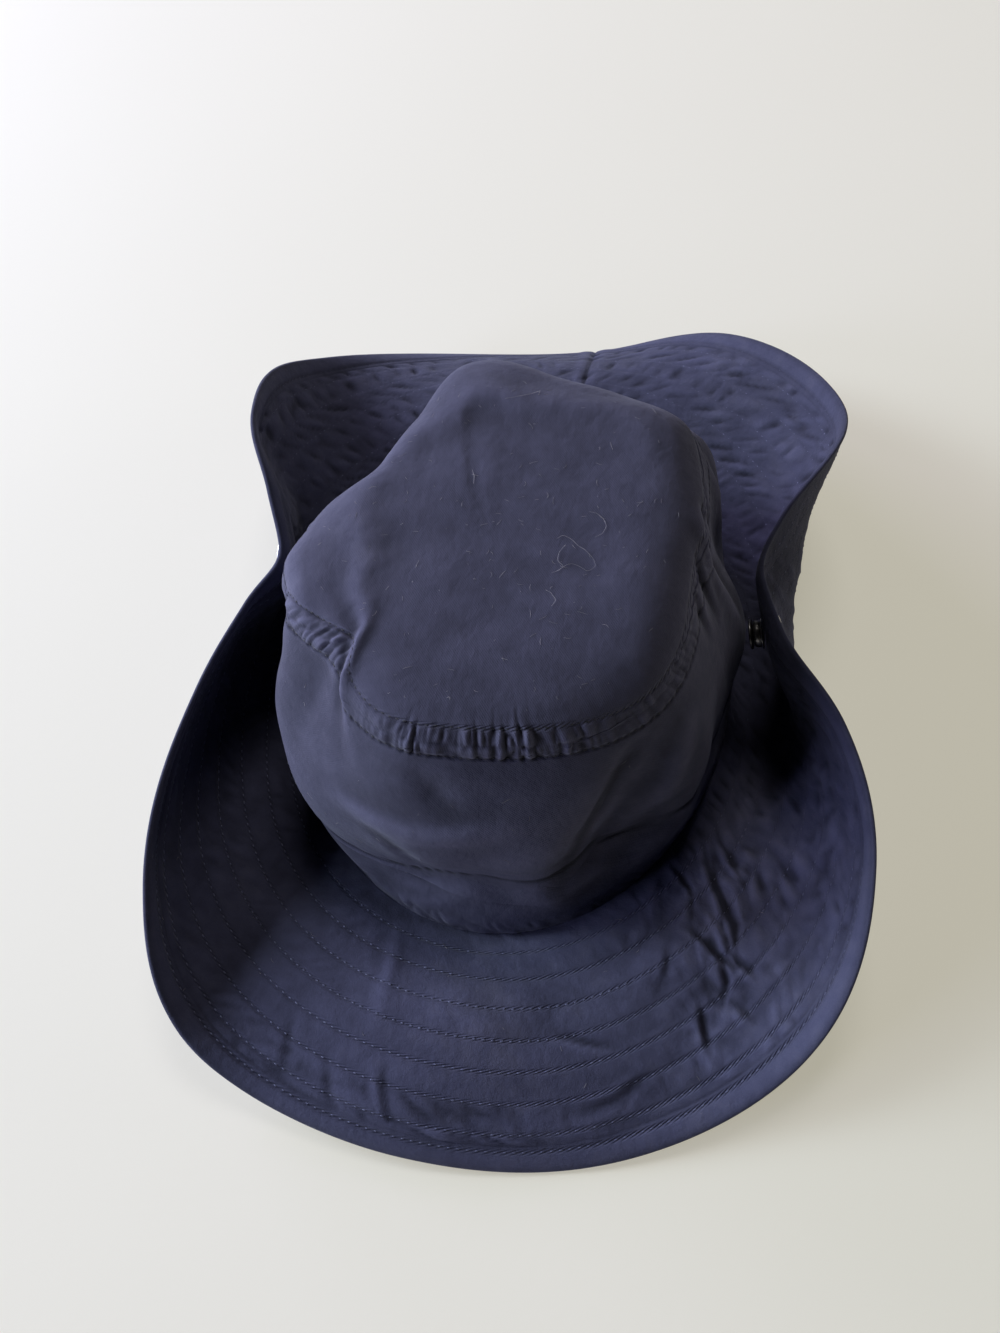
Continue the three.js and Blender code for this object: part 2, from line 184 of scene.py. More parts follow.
# Lights: name, direction and height in degrees, size, share of the window's power, colour
LIGHTS = (
    ("window", 178, 24, 0.80, 0.92, (0.80, 0.90, 1.00)),
    ("window_front", 214, 18, 0.70, 0.37, (0.66, 0.70, 1.00)),
    ("window_back", 146, 17, 0.80, 0.58, (0.74, 0.68, 1.00)),
    ("room_right", 28, 13, 0.80, 0.07, (1.00, 0.92, 0.84)),
    ("room_above", 98, 60, 0.60, 0.18, (1.00, 0.96, 0.92)),
)

# Where the lights point and how far off they stand, in metres
LIGHTS_AIM = (0, 0, 0.04)
LIGHT_DISTANCE = 2.0

# Camera: place in metres, angles in degrees, lens and sensor in millimetres
CAMERA_PLACE = (0.039324, -0.176000, 0.368402)
CAMERA_DOWN = 62.836
CAMERA_YAW = -16.177
CAMERA_ROLL = -4.1397
CAMERA_LENS = 36.72
SENSOR_WIDTH = 36.0

# Short fibres: the face they lie on, its first and last ring, whether only at the front, number
LINT = (("tip_face", 22, 70, False, 190), ("side_face", 20, 60, True, 40), ("upper_face", 6, 70, True, 26))
LINT_FRONT = (215, 335)
LINT_RADIUS = 0.045
HAIR_RADIUS = 0.055

# Long fibres lying on the tip, as places seen from above
HAIRS = (
    ((21.1, 13.0), (23.5, 13.0), (25.9, 11.4), (27.4, 9.0), (26.7, 6.1), (24.5, 4.3)),
    ((13.2, 1.5), (14.7, 3.2), (17.7, 2.2), (20.0, 0.2), (22.3, -0.7), (25.3, -3.2), (26.8, -6.0), (24.5, -8.3),
     (22.3, -7.0), (19.3, -6.2), (17.7, -7.3), (15.8, -9.7), (13.8, -11.0)),
    ((13.3, -17.2), (14.9, -17.7), (17.2, -20.1), (16.2, -22.4)),
    ((-14.0, 51.7), (-11.1, 52.9), (-7.2, 55.1), (-3.5, 58.4)),
    ((-18.4, 21.7), (-17.1, 19.4), (-16.7, 16.4)),
    ((16.2, -0.2), (14.8, -3.0), (14.7, -6.2), (16.9, -7.8)),
)

# Rows of stitching on the brim, as distances from the brim seam
BRIM_ROWS = (9.0, 19.0, 29.0, 39.0, 48.5, 58.0, 67.5)
HEM_CREASE = 71.3
HEM_ROW = 73.2
TOPSTITCH = 5.2
STITCH_SIZES = {"Stitch Length": 1.4, "Thread Width": 0.5, "Thread Height": 0.36}

# Parts of the brim's upper rows, as shares of the way round from the back, and how far their
# stitches stand off the cloth (+) or sink into it (-)
UPPER_ROW_PARTS = ((0.004, 0.26, -0.14), (0.26, 0.69, 0.04), (0.69, 0.996, -0.14))
UNDER_ROW_PART = (0.004, 0.996, 0.05)

# The same for the tip seam's rows: where they break, where they are sunk, and how far
SEAM_BREAKS = (0.69, 0.94)
SEAM_SUNK_AFTER = 0.69
SEAM_SUNK_BEFORE = 0.20
SEAM_SUNK = -0.16
SEAM_LEVEL = -0.02

# Spacing of the crown's stitches, as shares of the brim's
SEAM_PITCH = 0.8
BASE_PITCH = 0.7

# Relief of the brim: usual lengths of its puckers round the hat, how far apart and deep the
# short dashes across its lobes are, and how long a degree is on it
PUCKER_LENGTH = 3.9
FINE_PUCKER_LENGTH = 2.2
DASH_SPACING = 6.3
DASH_DEPTH = 0.75
GROOVE_WIDTH = 0.8
CREASE_STRENGTH = 1.4
BRIM_DEGREE = 1.95
BACK_SEAM_DEGREE = 2.4

# Relief of the crown: usual lengths of its pleats, tucks and fine wrinkles
PLEAT_LENGTH = 3.6
TUCK_LENGTH = 2.8
WRINKLE_LENGTH = 1.6
STITCH_LINE_WIDTH = 0.6
CROWN_DEGREE = 1.2

# Parts of the brim, by direction, where the rows pull in little and dashes cross them:
# direction, strength, and how far it reaches in degrees in all and at full strength
LOBES = ((BACK, 1.0, 105, 78), (350, 0.75, 34, 14))

# How much paler (+) or darker (-) than plain the cloth is, by direction: partly sun fading, partly painted light and
# shade (painted shade on the crown's window-lit left side, the brim's back lobes and its front-left inside; painted
# light on the brim's front-right and the tip). Columns: direction, amount, and how far it reaches in degrees in all and
# in full
CROWN_FADE_AND_PAINTED_LIGHT = ((195, -0.14, 60, 20),)
BRIM_FADE_AND_PAINTED_LIGHT = ((95, -0.16, 110, 60), (220, -0.12, 45, 15), (310, 0.20, 55, 20))
TIP_FADE_AND_PAINTED_LIGHT = 1.03

# Weave of the cloth and reach of a stitch's dimple, in metres
TWILL_PITCH = 0.00085
YARN_PITCH = 0.0006
DIMPLE_REACH = 0.0011

# The hidden side of the cloth has one ring for this many of the side that shows
HIDDEN_STEP = 3
# Extra ring this close to a joint between pieces, so that both shade alike there
JOINT_RING = 0.06

# Creases in the brim's cloth, each a line of places: direction and distance from the brim seam,
# depth inward (-) or outward (+), width, and skew from a plain crease (0) to a step (1 or -1)
BRIM_CREASES = (
    [(328, 12, -0.2, 1.2, 0.3), (326, 17, -1.0, 1.1, 0.3), (323.5, 26, -1.3, 1.1, 0.3), (322, 34, -1.2, 1.0, 0.3),
     (320, 41, -0.2, 0.9, 0.3)],
    [(333, 12, -0.1, 1.0, 0.4), (330.5, 20, -1.0, 1.0, 0.4), (328, 31, -0.1, 0.9, 0.4)],
    [(316, 24, -0.1, 1.0, 0.3), (316.8, 32, -1.0, 0.9, 0.3), (317.2, 39, -1.1, 0.9, 0.4),
     (318.7, 47, -0.2, 0.9, 0.4)],
    [(318.8, 39, -0.3, 0.9, 0.4), (319.3, 46, -1.0, 0.9, 0.4), (319.8, 53, -0.1, 0.8, 0.4)],
    [(317.2, 38, -0.3, 0.9, -0.3), (316.5, 46, -1.1, 0.9, -0.3), (313.5, 52, -0.2, 0.8, -0.3)],
    [(322.5, 5, -0.3, 1.1, 0.2), (321.5, 15, -0.9, 1.1, 0.2), (317, 24, -0.2, 1.0, 0.2)],
    [(315, 51, -0.2, 0.9, 0.3), (315.7, 57, -0.8, 0.9, 0.3), (316.5, 63, -0.1, 0.8, 0.3)],
    [(311, 46, -0.1, 0.9, 0.3), (310, 53, -1.1, 0.9, 0.3), (309.5, 61, -0.2, 0.9, 0.3)],
    [(337, 28, -0.1, 1.2, 0.2), (334, 40, -0.6, 1.1, 0.2), (332, 50, -0.1, 1.1, 0.2)],
    [(289, 38, -0.1, 0.9, 0.5), (293, 42, -0.6, 0.9, 0.5), (299, 48, -0.1, 0.9, 0.5)],
    [(265, 52, -0.1, 1.3, 0.2), (266, 59, -0.6, 1.3, 0.2), (268, 68, -0.5, 1.2, 0.2)],
    [(257, 56, -0.1, 1.4, 0.0), (259, 65, -0.5, 1.4, 0.0), (261, 73, -0.1, 1.4, 0.0)],
    [(257, 8, 0.1, 3.0, 0.0), (260, 24, 0.5, 3.2, 0.0), (262, 42, 0.1, 3.2, 0.0)],
    [(320.5, 22, 0.1, 1.4, 0.0), (319.5, 32, 0.7, 1.3, 0.0), (318.3, 40, 0.1, 1.2, 0.0)],
    [(328.5, 20, 0.1, 1.4, 0.0), (326, 29, 0.6, 1.3, 0.0), (323, 38, 0.1, 1.2, 0.0)],
    [(250, 52, -0.1, 1.5, 0.0), (252, 62, -0.5, 1.5, 0.0), (253, 70, -0.1, 1.5, 0.0)],
    [(325, 24, -0.1, 0.9, 0.3), (321, 31, -0.8, 0.9, 0.3), (318.5, 34, -0.1, 0.8, 0.3)],
    [(312, 24, -0.1, 1.2, 0.2), (309, 31, -0.5, 1.2, 0.2), (306, 36, -0.1, 1.2, 0.2)],
    [(302, 56, -0.1, 1.3, 0.4), (297, 60, -0.5, 1.3, 0.4), (291, 62, -0.1, 1.3, 0.4)],
)

# Soft folds of the crown, written the same way, by distance from the tip seam (+ on the tip, -
# down the side). The last one is the soft ridge round the tip's flat top.
CROWN_CREASES = (
    [(192, 24, 0.0, 3.4, -0.9), (206, 22, 0.30, 3.2, -0.9), (217, 21, 0.55, 2.8, -0.9), (225, 17, 0.80, 2.2, -0.9),
     (230, 10, 1.00, 1.8, -0.9), (232.5, 4, 0.95, 1.7, -0.9), (235, -4, 0.65, 2.2, -0.9),
     (239, -14, 0.30, 3.2, -0.9), (243, -26, 0.0, 3.6, -0.9)],
    [(258, -6, 0.0, 6.0, 0.0), (266, -16, -1.6, 6.0, 0.0), (274, -29, 0.0, 6.0, 0.0)],
    [(234, -42, 0.0, 4.4, 0.0), (248, -38, 1.5, 4.4, 0.0), (270, -32, 1.5, 4.4, 0.0), (290, -27, 0.0, 4.4, 0.0)],
    [(248, -40, 0.0, 5.5, 0.0), (256, -51, -2.0, 5.5, 0.0), (264, -66, 0.0, 5.0, 0.0)],
    [(322, -9, 0.0, 4.0, 0.0), (314, -20, -2.2, 5.0, 0.0), (303, -40, -3.6, 5.0, 0.0), (297, -60, -2.8, 4.4, 0.0),
     (296, -70, -1.0, 4.0, 0.0)],
    [(324, -34, 0.0, 4.5, 0.0), (316, -48, 1.9, 4.5, 0.0), (306, -66, 1.2, 4.2, 0.0)],
    [(337, -16, 0.0, 4.4, 0.0), (329, -30, 1.6, 4.4, 0.0), (320, -50, 0.0, 4.4, 0.0)],
    [(24, 6, 0.0, 2.2, 0.4), (17, 1, 1.9, 2.0, 0.4), (11, -8, 2.3, 2.0, 0.4), (8, -24, 1.9, 2.3, 0.3),
     (5, -46, 0.0, 2.6, 0.3)],
    [(27, 5, 0.0, 2.0, 0.0), (20, 0, -1.9, 1.9, 0.0), (13, -8, -0.8, 1.9, 0.0)],
    [(11, 4, 0.0, 1.4, 0.3), (6, -4, -1.8, 1.4, 0.3), (1, -20, -0.4, 1.5, 0.3)],
    [(1, 3, 0.0, 1.5, 0.3), (357, -8, -1.3, 1.5, 0.3), (354, -20, 0.0, 1.5, 0.3)],
    [(35, 1, 0.0, 1.7, 0.0), (27, -3, -1.7, 1.7, 0.0), (20, -12, 0.0, 1.8, 0.0)],
    [(43, -6, 0.0, 2.5, 0.3), (36, -18, 1.9, 2.5, 0.3), (30, -34, 0.0, 2.8, 0.3)],
    [(217, 24, 0.2, 6.0, 0.0), (190, 27, 1.1, 6.0, 0.0), (165, 12, 1.3, 6.0, 0.0), (150, 8, 1.4, 6.0, 0.0),
     (133, 15, 1.5, 6.0, 0.0), (118, 27, 1.5, 6.5, 0.0), (95, 25, 1.5, 6.5, 0.0), (80, 18, 1.2, 6.0, 0.0),
     (65, 19, 0.9, 5.5, 0.0), (44, 26, 0.3, 5.0, 0.0)],
)

# How the crown's cloth stands off its plain shape round the tip seam, in millimetres, and how
# far the drawn seam line lies towards the tip
SEAM_TRIM = table("at out shift", [
    (0, 0.0, -2.0), (30, 0.0, -3.0), (45, -2.5, -4.5), (58, -3.0, -6.0), (75, 2.2, -8.0), (90, 1.5, -8.0),
    (120, 0.0, -8.0), (150, 0.0, -5.0), (183, 0.5, -1.0), (192, 3.0, -4.0), (200, 4.0, -4.0), (207, 3.0, 0.0),
    (214, 0.5, 5.0), (222, 0.0, 7.5), (229, 0.0, 8.0), (235, 0.0, 2.0), (245, 0.0, 0.8), (256, 0.0, 2.2),
    (268, 0.0, 3.4), (286, 0.0, 3.0), (300, 0.0, 1.8), (313, 0.0, -0.6), (328, 0.0, -2.5), (345, 0.0, -3.0),
])

# Pleats pulled into the tip seam: how strong, and how far they reach on to the tip
PLEATS = table("at amount reach", [
    (0, 0.35, 12), (25, 0.30, 12), (45, 0.15, 8), (70, 0.15, 7), (100, 0.15, 7), (150, 0.20, 7), (185, 0.25, 7),
    (203, 0.55, 6), (216, 1.10, 6), (229, 1.00, 7), (237, 0.15, 7), (246, 0.22, 8), (254, 0.80, 12),
    (265, 1.15, 15), (285, 1.20, 15), (299, 1.15, 14), (310, 0.55, 9), (325, 0.40, 8), (338, 0.60, 9),
])

# Base stitching: how far it lies above the band and how far it draws the cloth in
BASE_LINE = table("at up depth", [
    (0, 4.0, 0.8), (60, 2.5, 0.8), (120, 2.5, 0.8), (180, 2.5, 1.0), (215, 3.0, 1.2), (238, 2.5, 1.6), (250, 3.0, 2.0),
    (258, 6.0, 2.3), (266, 11.0, 2.7), (275, 15.5, 3.2), (287, 15.5, 3.4), (300, 16.5, 3.6), (312, 16.0, 3.0),
    (325, 15.0, 2.4), (342, 9.0, 1.5),
])

# Puckers of the brim between its rows of stitching, and just inside the hem, and their lean
BRIM_PUCKERS = table("at amount hem lean", [
    (0, 1.15, 1.1, 0.5), (30, 1.3, 1.2, 0.7), (60, 1.35, 1.2, 0.8), (90, 1.0, 1.0, 0.5), (120, 1.2, 1.0, -0.4),
    (150, 1.2, 1.0, -0.6), (180, 1.0, 1.0, -0.4), (205, 0.9, 1.0, 0.2), (230, 0.8, 1.3, 0.3), (250, 0.5, 1.7, 0.5),
    (265, 0.40, 1.8, -0.9), (280, 0.38, 1.6, -0.9), (296, 0.42, 1.5, -0.5), (307, 0.8, 1.4, -0.4), (318, 1.7, 1.3, 0.2),
    (330, 1.6, 1.2, 0.2), (345, 1.3, 1.1, 0.3),
])


def around(columns, name, angle):
    """Smooth curve through a column of a table that runs once round the hat"""
    at = columns["at"]
    value = columns[name]
    count = len(at)
    turn = np.mod(angle - at[0], 360.0) + at[0]
    index = np.searchsorted(at, turn, side="right") - 1

    def place(k):
        return at[k % count] + 360.0 * np.floor_divide(k, count)

    places = [place(index + k) for k in (-1, 0, 1, 2)]
    values = [value[(index + k) % count] for k in (-1, 0, 1, 2)]
    return smooth_between(places, values, turn)


def along(columns, key, name, at):
    """Smooth curve through a column of a table, from its first row to its last"""
    last = len(columns[key]) - 1
    index = np.clip(np.searchsorted(columns[key], at, side="right") - 1, 0, last - 1)
    places = []
    values = []
    for k in (-1, 0, 1, 2):
        kept = np.clip(index + k, 0, last)
        places.append(columns[key][kept] + (index + k - kept) * 0.1)
        values.append(columns[name][kept])
    return smooth_between(places, values, at)


def smooth_between(places, values, at):
    """Cubic curve through the middle two of four places, with the slopes of their neighbours"""
    width = places[2] - places[1]
    share = (at - places[1]) / width
    rise1 = (values[2] - values[0]) / (places[2] - places[0]) * width
    rise2 = (values[3] - values[1]) / (places[3] - places[1]) * width
    s2 = share * share
    s3 = s2 * share
    return ((2 * s3 - 3 * s2 + 1) * values[1] + (s3 - 2 * s2 + share) * rise1
            + (3 * s2 - 2 * s3) * values[2] + (s3 - s2) * rise2)


def hump(distance, spread, flat=0.0):
    """1 over a flat middle, falling to 0 at one spread away"""
    share = np.clip((np.abs(distance) - flat) / (spread - flat), 0.0, 1.0)
    return np.cos(share * math.pi / 2) ** 2


def ridge(distance, width):
    """Narrow rounded ridge across a line"""
    return np.exp(-(distance / width) ** 2)


def turn_between(start, end):
    """Shorter turn from one direction to another, in degrees"""
    return np.mod(end - start + 180.0, 360.0) - 180.0


def ripple(x, y, seed, turn=512):
    """Seeded smooth noise between -1 and 1 with features one unit across. It repeats after a
    whole turn of that many units along x."""
    corners = np.random.default_rng(seed).uniform(-1.0, 1.0, (turn, 64))
    x0 = np.floor(x).astype(int)
    y0 = np.floor(y).astype(int)
    fx = x - x0
    fy = y - y0
    fx = fx * fx * (3 - 2 * fx)
    fy = fy * fy * (3 - 2 * fy)
    x1 = (x0 + 1) % turn
    y1 = (y0 + 1) % 64
    x0 = x0 % turn
    y0 = y0 % 64
    low = corners[x0, y0] * (1 - fx) + corners[x1, y0] * fx
    high = corners[x0, y1] * (1 - fx) + corners[x1, y1] * fx
    return low * (1 - fy) + high * fy


def round_ripple(gone, size, y, seed, lean=0.0):
    """Ripples round the hat: gone is the share of the way round, size their usual length"""
    turn = max(int(round(HEAD_ROUND / size)), 3)
    return ripple(gone * turn + lean / size, y, seed, turn)


def head_oval(angle):
    """Points of the brim seam, with the ways forward along it and outward"""
    turn = np.radians(angle)
    zero = np.zeros_like(turn)
    point = np.stack([HEAD_WIDTH / 2 * np.cos(turn), HEAD_LENGTH / 2 * np.sin(turn), zero], -1)
    forward = np.stack([-HEAD_WIDTH / 2 * np.sin(turn), HEAD_LENGTH / 2 * np.cos(turn), zero], -1)
    forward /= np.linalg.norm(forward, axis=-1, keepdims=True)
    outward = np.stack([forward[..., 1], -forward[..., 0], zero], -1)
    return point, forward, outward


def tip_outline(angle, reach):
    """Points of the tip's outline, drawn in to a share of its reach"""
    turn = np.radians(angle)
    share = around(TIP_OUTLINE, "reach", angle) * reach
    x = TIP_LEAN[0] + TIP_WIDTH / 2 * np.cos(turn) * share
    y = TIP_LEAN[1] + TIP_LENGTH / 2 * np.sin(turn) * share
    return np.stack([x, y, np.zeros_like(x)], -1)


def fold_depth(angle, height):
    """How far the crown's dents push its wall outward (+) or inward (-)"""
    depth = np.zeros(np.broadcast(angle, height).shape)
    folds = CROWN_FOLDS
    for at, level, deep, spread, reach, slant in zip(*folds.values()):
        middle = at + slant * (height - level)
        depth += deep * HEAD_WIDTH * hump(turn_between(middle, angle), spread) * hump(height - level, reach)
    return depth * (1 - hump(height, FOLDS_START))


def crown_points(height, angle):
    """Middle of the crown's wall on a grid of shares of its height and directions"""
    height, angle = np.meshgrid(height, angle, indexing="ij")
    point, _, outward = head_oval(angle)
    toward = along(CROWN_SECTIONS, "height", "toward", height)[..., None]
    swell = along(CROWN_SECTIONS, "height", "swell", height) * HEAD_WIDTH
    point = (point - outward * (SEAM_GAP + CROWN_WALL / 2)) * (1 - toward) + tip_outline(angle, 1.0) * toward
    point = point + outward * (swell + fold_depth(angle, height))[..., None]
    point[..., 2] = height * CROWN_HEIGHT
    return point


def tip_points(row, angle):
    """Middle of the tip's wall, from the tip seam to its middle"""
    row, angle = np.meshgrid(row, angle, indexing="ij")
    reach = along(TIP_SECTIONS, "row", "reach", row)
    rise = along(TIP_SECTIONS, "row", "rise", row)
    _, _, outward = head_oval(angle)
    height = 1 + (1 - reach) * TIP_WIDTH / 2 / CROWN_HEIGHT
    point = tip_outline(angle, reach) + outward * (fold_depth(angle, height) * reach)[..., None]
    point[..., 2] = CROWN_HEIGHT + rise * TIP_RISE
    return point


def brim_points(out, angle):
    """Middle of the brim's cloth, walked out from the brim seam and pulled in at the studs"""
    steps = 200
    walk = (np.arange(steps) + 0.5) / steps
    point, forward, outward = head_oval(angle)
    columns = [np.radians(around(BRIM_SECTIONS, name, angle))[None] for name in ("start", "middle", "edge", "turn")]
    start, middle, edge, turn = columns
    x = walk[:, None]
    slope = (2 * x - 1) * (x - 1) * start + 4 * x * (1 - x) * middle + x * (2 * x - 1) * edge
    step = BRIM_WIDTH / steps
    gone_out = np.cumsum(np.cos(slope) * np.cos(turn * x), 0) * step
    gone_round = np.cumsum(np.cos(slope) * np.sin(turn * x), 0) * step
    gone_up = np.cumsum(np.sin(slope), 0) * step
    ends = np.concatenate([[0.0], (np.arange(steps) + 1) * step])
    result = np.zeros((len(out), len(angle), 3))
    for column in range(len(angle)):
        a = np.interp(out, ends, np.concatenate([[0], gone_out[:, column]]))
        b = np.interp(out, ends, np.concatenate([[0], gone_round[:, column]]))
        c = np.interp(out, ends, np.concatenate([[0], gone_up[:, column]]))
        result[:, column] = point[column] + outward[column] * a[:, None] + forward[column] * b[:, None]
        result[:, column, 2] += c
    flat = STUD_CAP_DIAMETER / 2
    for at, across, pull, spread, reach in zip(*STUD_PULLS.values()):
        inward = -head_oval(np.array(at))[2]
        by_turn = hump(turn_between(at, angle), spread, math.degrees(flat / (HEAD_WIDTH / 2)))
        by_reach = hump(out / BRIM_WIDTH - across, reach, flat / BRIM_WIDTH)
        result += pull * by_reach[:, None, None] * by_turn[None, :, None] * inward
    return result


def normals_of(points):
    """Direction each point of a grid faces: round the hat crossed with the way up or out"""
    round_way = np.roll(points, -1, 1) - np.roll(points, 1, 1)
    along_way = np.gradient(points, axis=0)
    normal = np.cross(round_way, along_way)
    return normal / np.maximum(np.linalg.norm(normal, axis=-1, keepdims=True), 1e-9)


def length_round(points):
    """Distance round each ring of a grid, from its first column, with the closing step"""
    step = np.linalg.norm(np.roll(points, -1, 1) - points, axis=-1)
    return np.concatenate([np.zeros((len(points), 1)), np.cumsum(step, 1)], 1)


def length_along(points):
    """Distance across each column of a grid, from its first ring"""
    step = np.linalg.norm(np.diff(points, axis=0), axis=-1)
    return np.concatenate([np.zeros((1, points.shape[1])), np.cumsum(step, 0)], 0)


def tilted(points):
    """The same points as the hat rests, before it is moved over the origin"""
    pitch = math.radians(REST_PITCH)
    turn = np.array([[1, 0, 0], [0, math.cos(pitch), -math.sin(pitch)], [0, math.sin(pitch), math.cos(pitch)]])
    return points @ turn.T


def rest_shift():
    """How far the tilted hat moves so that its plain brim lies where the frame's brim does"""
    angle = np.arange(84) * 360.0 / 84
    out = np.linspace(0, BRIM_WIDTH, 14)
    plain = brim_points(out, angle)
    normal = normals_of(plain)
    both = tilted(np.concatenate([plain + normal * BRIM_WALL / 2, plain - normal * BRIM_WALL / 2]))
    low, high = both.min((0, 1)), both.max((0, 1))
    box_low, box_high = (np.array(corner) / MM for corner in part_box("brim"))
    shift = (box_low + box_high) / 2 - (low + high) / 2
    shift[2] = box_low[2] - low[2]
    return shift


REST_SHIFT = rest_shift()


def placed(points):
    """Points of the hat as it rests in the frame, in metres"""
    return (tilted(points) + REST_SHIFT) * MM


def crease_depth(creases, angle, across, round_size):
    """Depth of creases at places given as direction and distance across, where a degree is
    round_size long. A place takes the depth of the nearest stretch of each crease."""
    shape = np.broadcast(angle, across).shape
    total = np.zeros(shape)
    for crease in creases:
        nearest = np.full(shape, np.inf)
        depth = np.zeros(shape)
        for (at, out, *form), (end_at, end_out, *end_form) in zip(crease[:-1], crease[1:]):
            x = turn_between(at, angle) * round_size
            end_x = turn_between(at, end_at) * round_size
            y = across - out
            end_y = end_out - out
            share = np.clip((x * end_x + y * end_y) / (end_x ** 2 + end_y ** 2), 0, 1)
            gap = np.hypot(x - share * end_x, y - share * end_y)
            off = np.sign(x * end_y - y * end_x) * gap
            deep, width, skew = (a * (1 - share) + b * share for a, b in zip(form, end_form))
            step = 2.2 * off / width * ridge(off, 1.6 * width)
            value = deep * ((1 - np.abs(skew)) * ridge(off, width) + skew * step)
            depth = np.where(gap < nearest, value, depth)
            nearest = np.minimum(gap, nearest)
        total += depth
    return total


def puckered(gone, size, y, seed, lean=0.0):
    """Puckers round the hat with rounded tops and sharp valleys, from about -0.6 to 1"""
    return 1.7 * np.abs(round_ripple(gone, size, y, seed, lean)) ** 0.75 - 0.75


def rise_of(relief):
    """How far each place of a relief stands above the cloth a few millimetres round it; the cloth material paints shade
    where this is low and highlight where it is high
    """
    level = relief
    for _ in range(2):
        tall = np.pad(level, ((4, 4), (0, 0)), mode="edge")
        level = sum(tall[k:k + len(relief)] for k in range(9)) / 9
        level = sum(np.roll(level, k, 1) for k in range(-4, 5)) / 9
    return np.clip(relief - level, -0.6, 0.5)


# Meshes, with what one operator makes and a later one needs kept by name

MADE = {}


def sparse(rows, step):
    """Numbers of a coarser set of rows that keeps the first and the last"""
    kept = list(range(0, rows - 1, step))
    return kept + [rows - 1]


def side_faces(points, lengths, across):
    """Quads of one side's grid and the lengths round and across at their corners"""
    rows, count = points.shape[:2]
    i = np.arange(rows - 1)[:, None]
    j = np.arange(count)[None]
    k = (j + 1) % count
    quads = np.stack([i * count + j, i * count + k, (i + 1) * count + k, (i + 1) * count + j], -1)
    v = np.broadcast_to(across if across.ndim == 2 else across[:, None], (rows, count))
    around_way = np.stack([lengths[:-1, :-1], lengths[:-1, 1:], lengths[1:, 1:], lengths[1:, :-1]], -1)
    across_way = np.stack([v[:-1], v[:-1], v[1:], v[1:]], -1)
    return quads.reshape(-1, 4), np.stack([around_way, across_way], -1).reshape(-1, 4, 2)


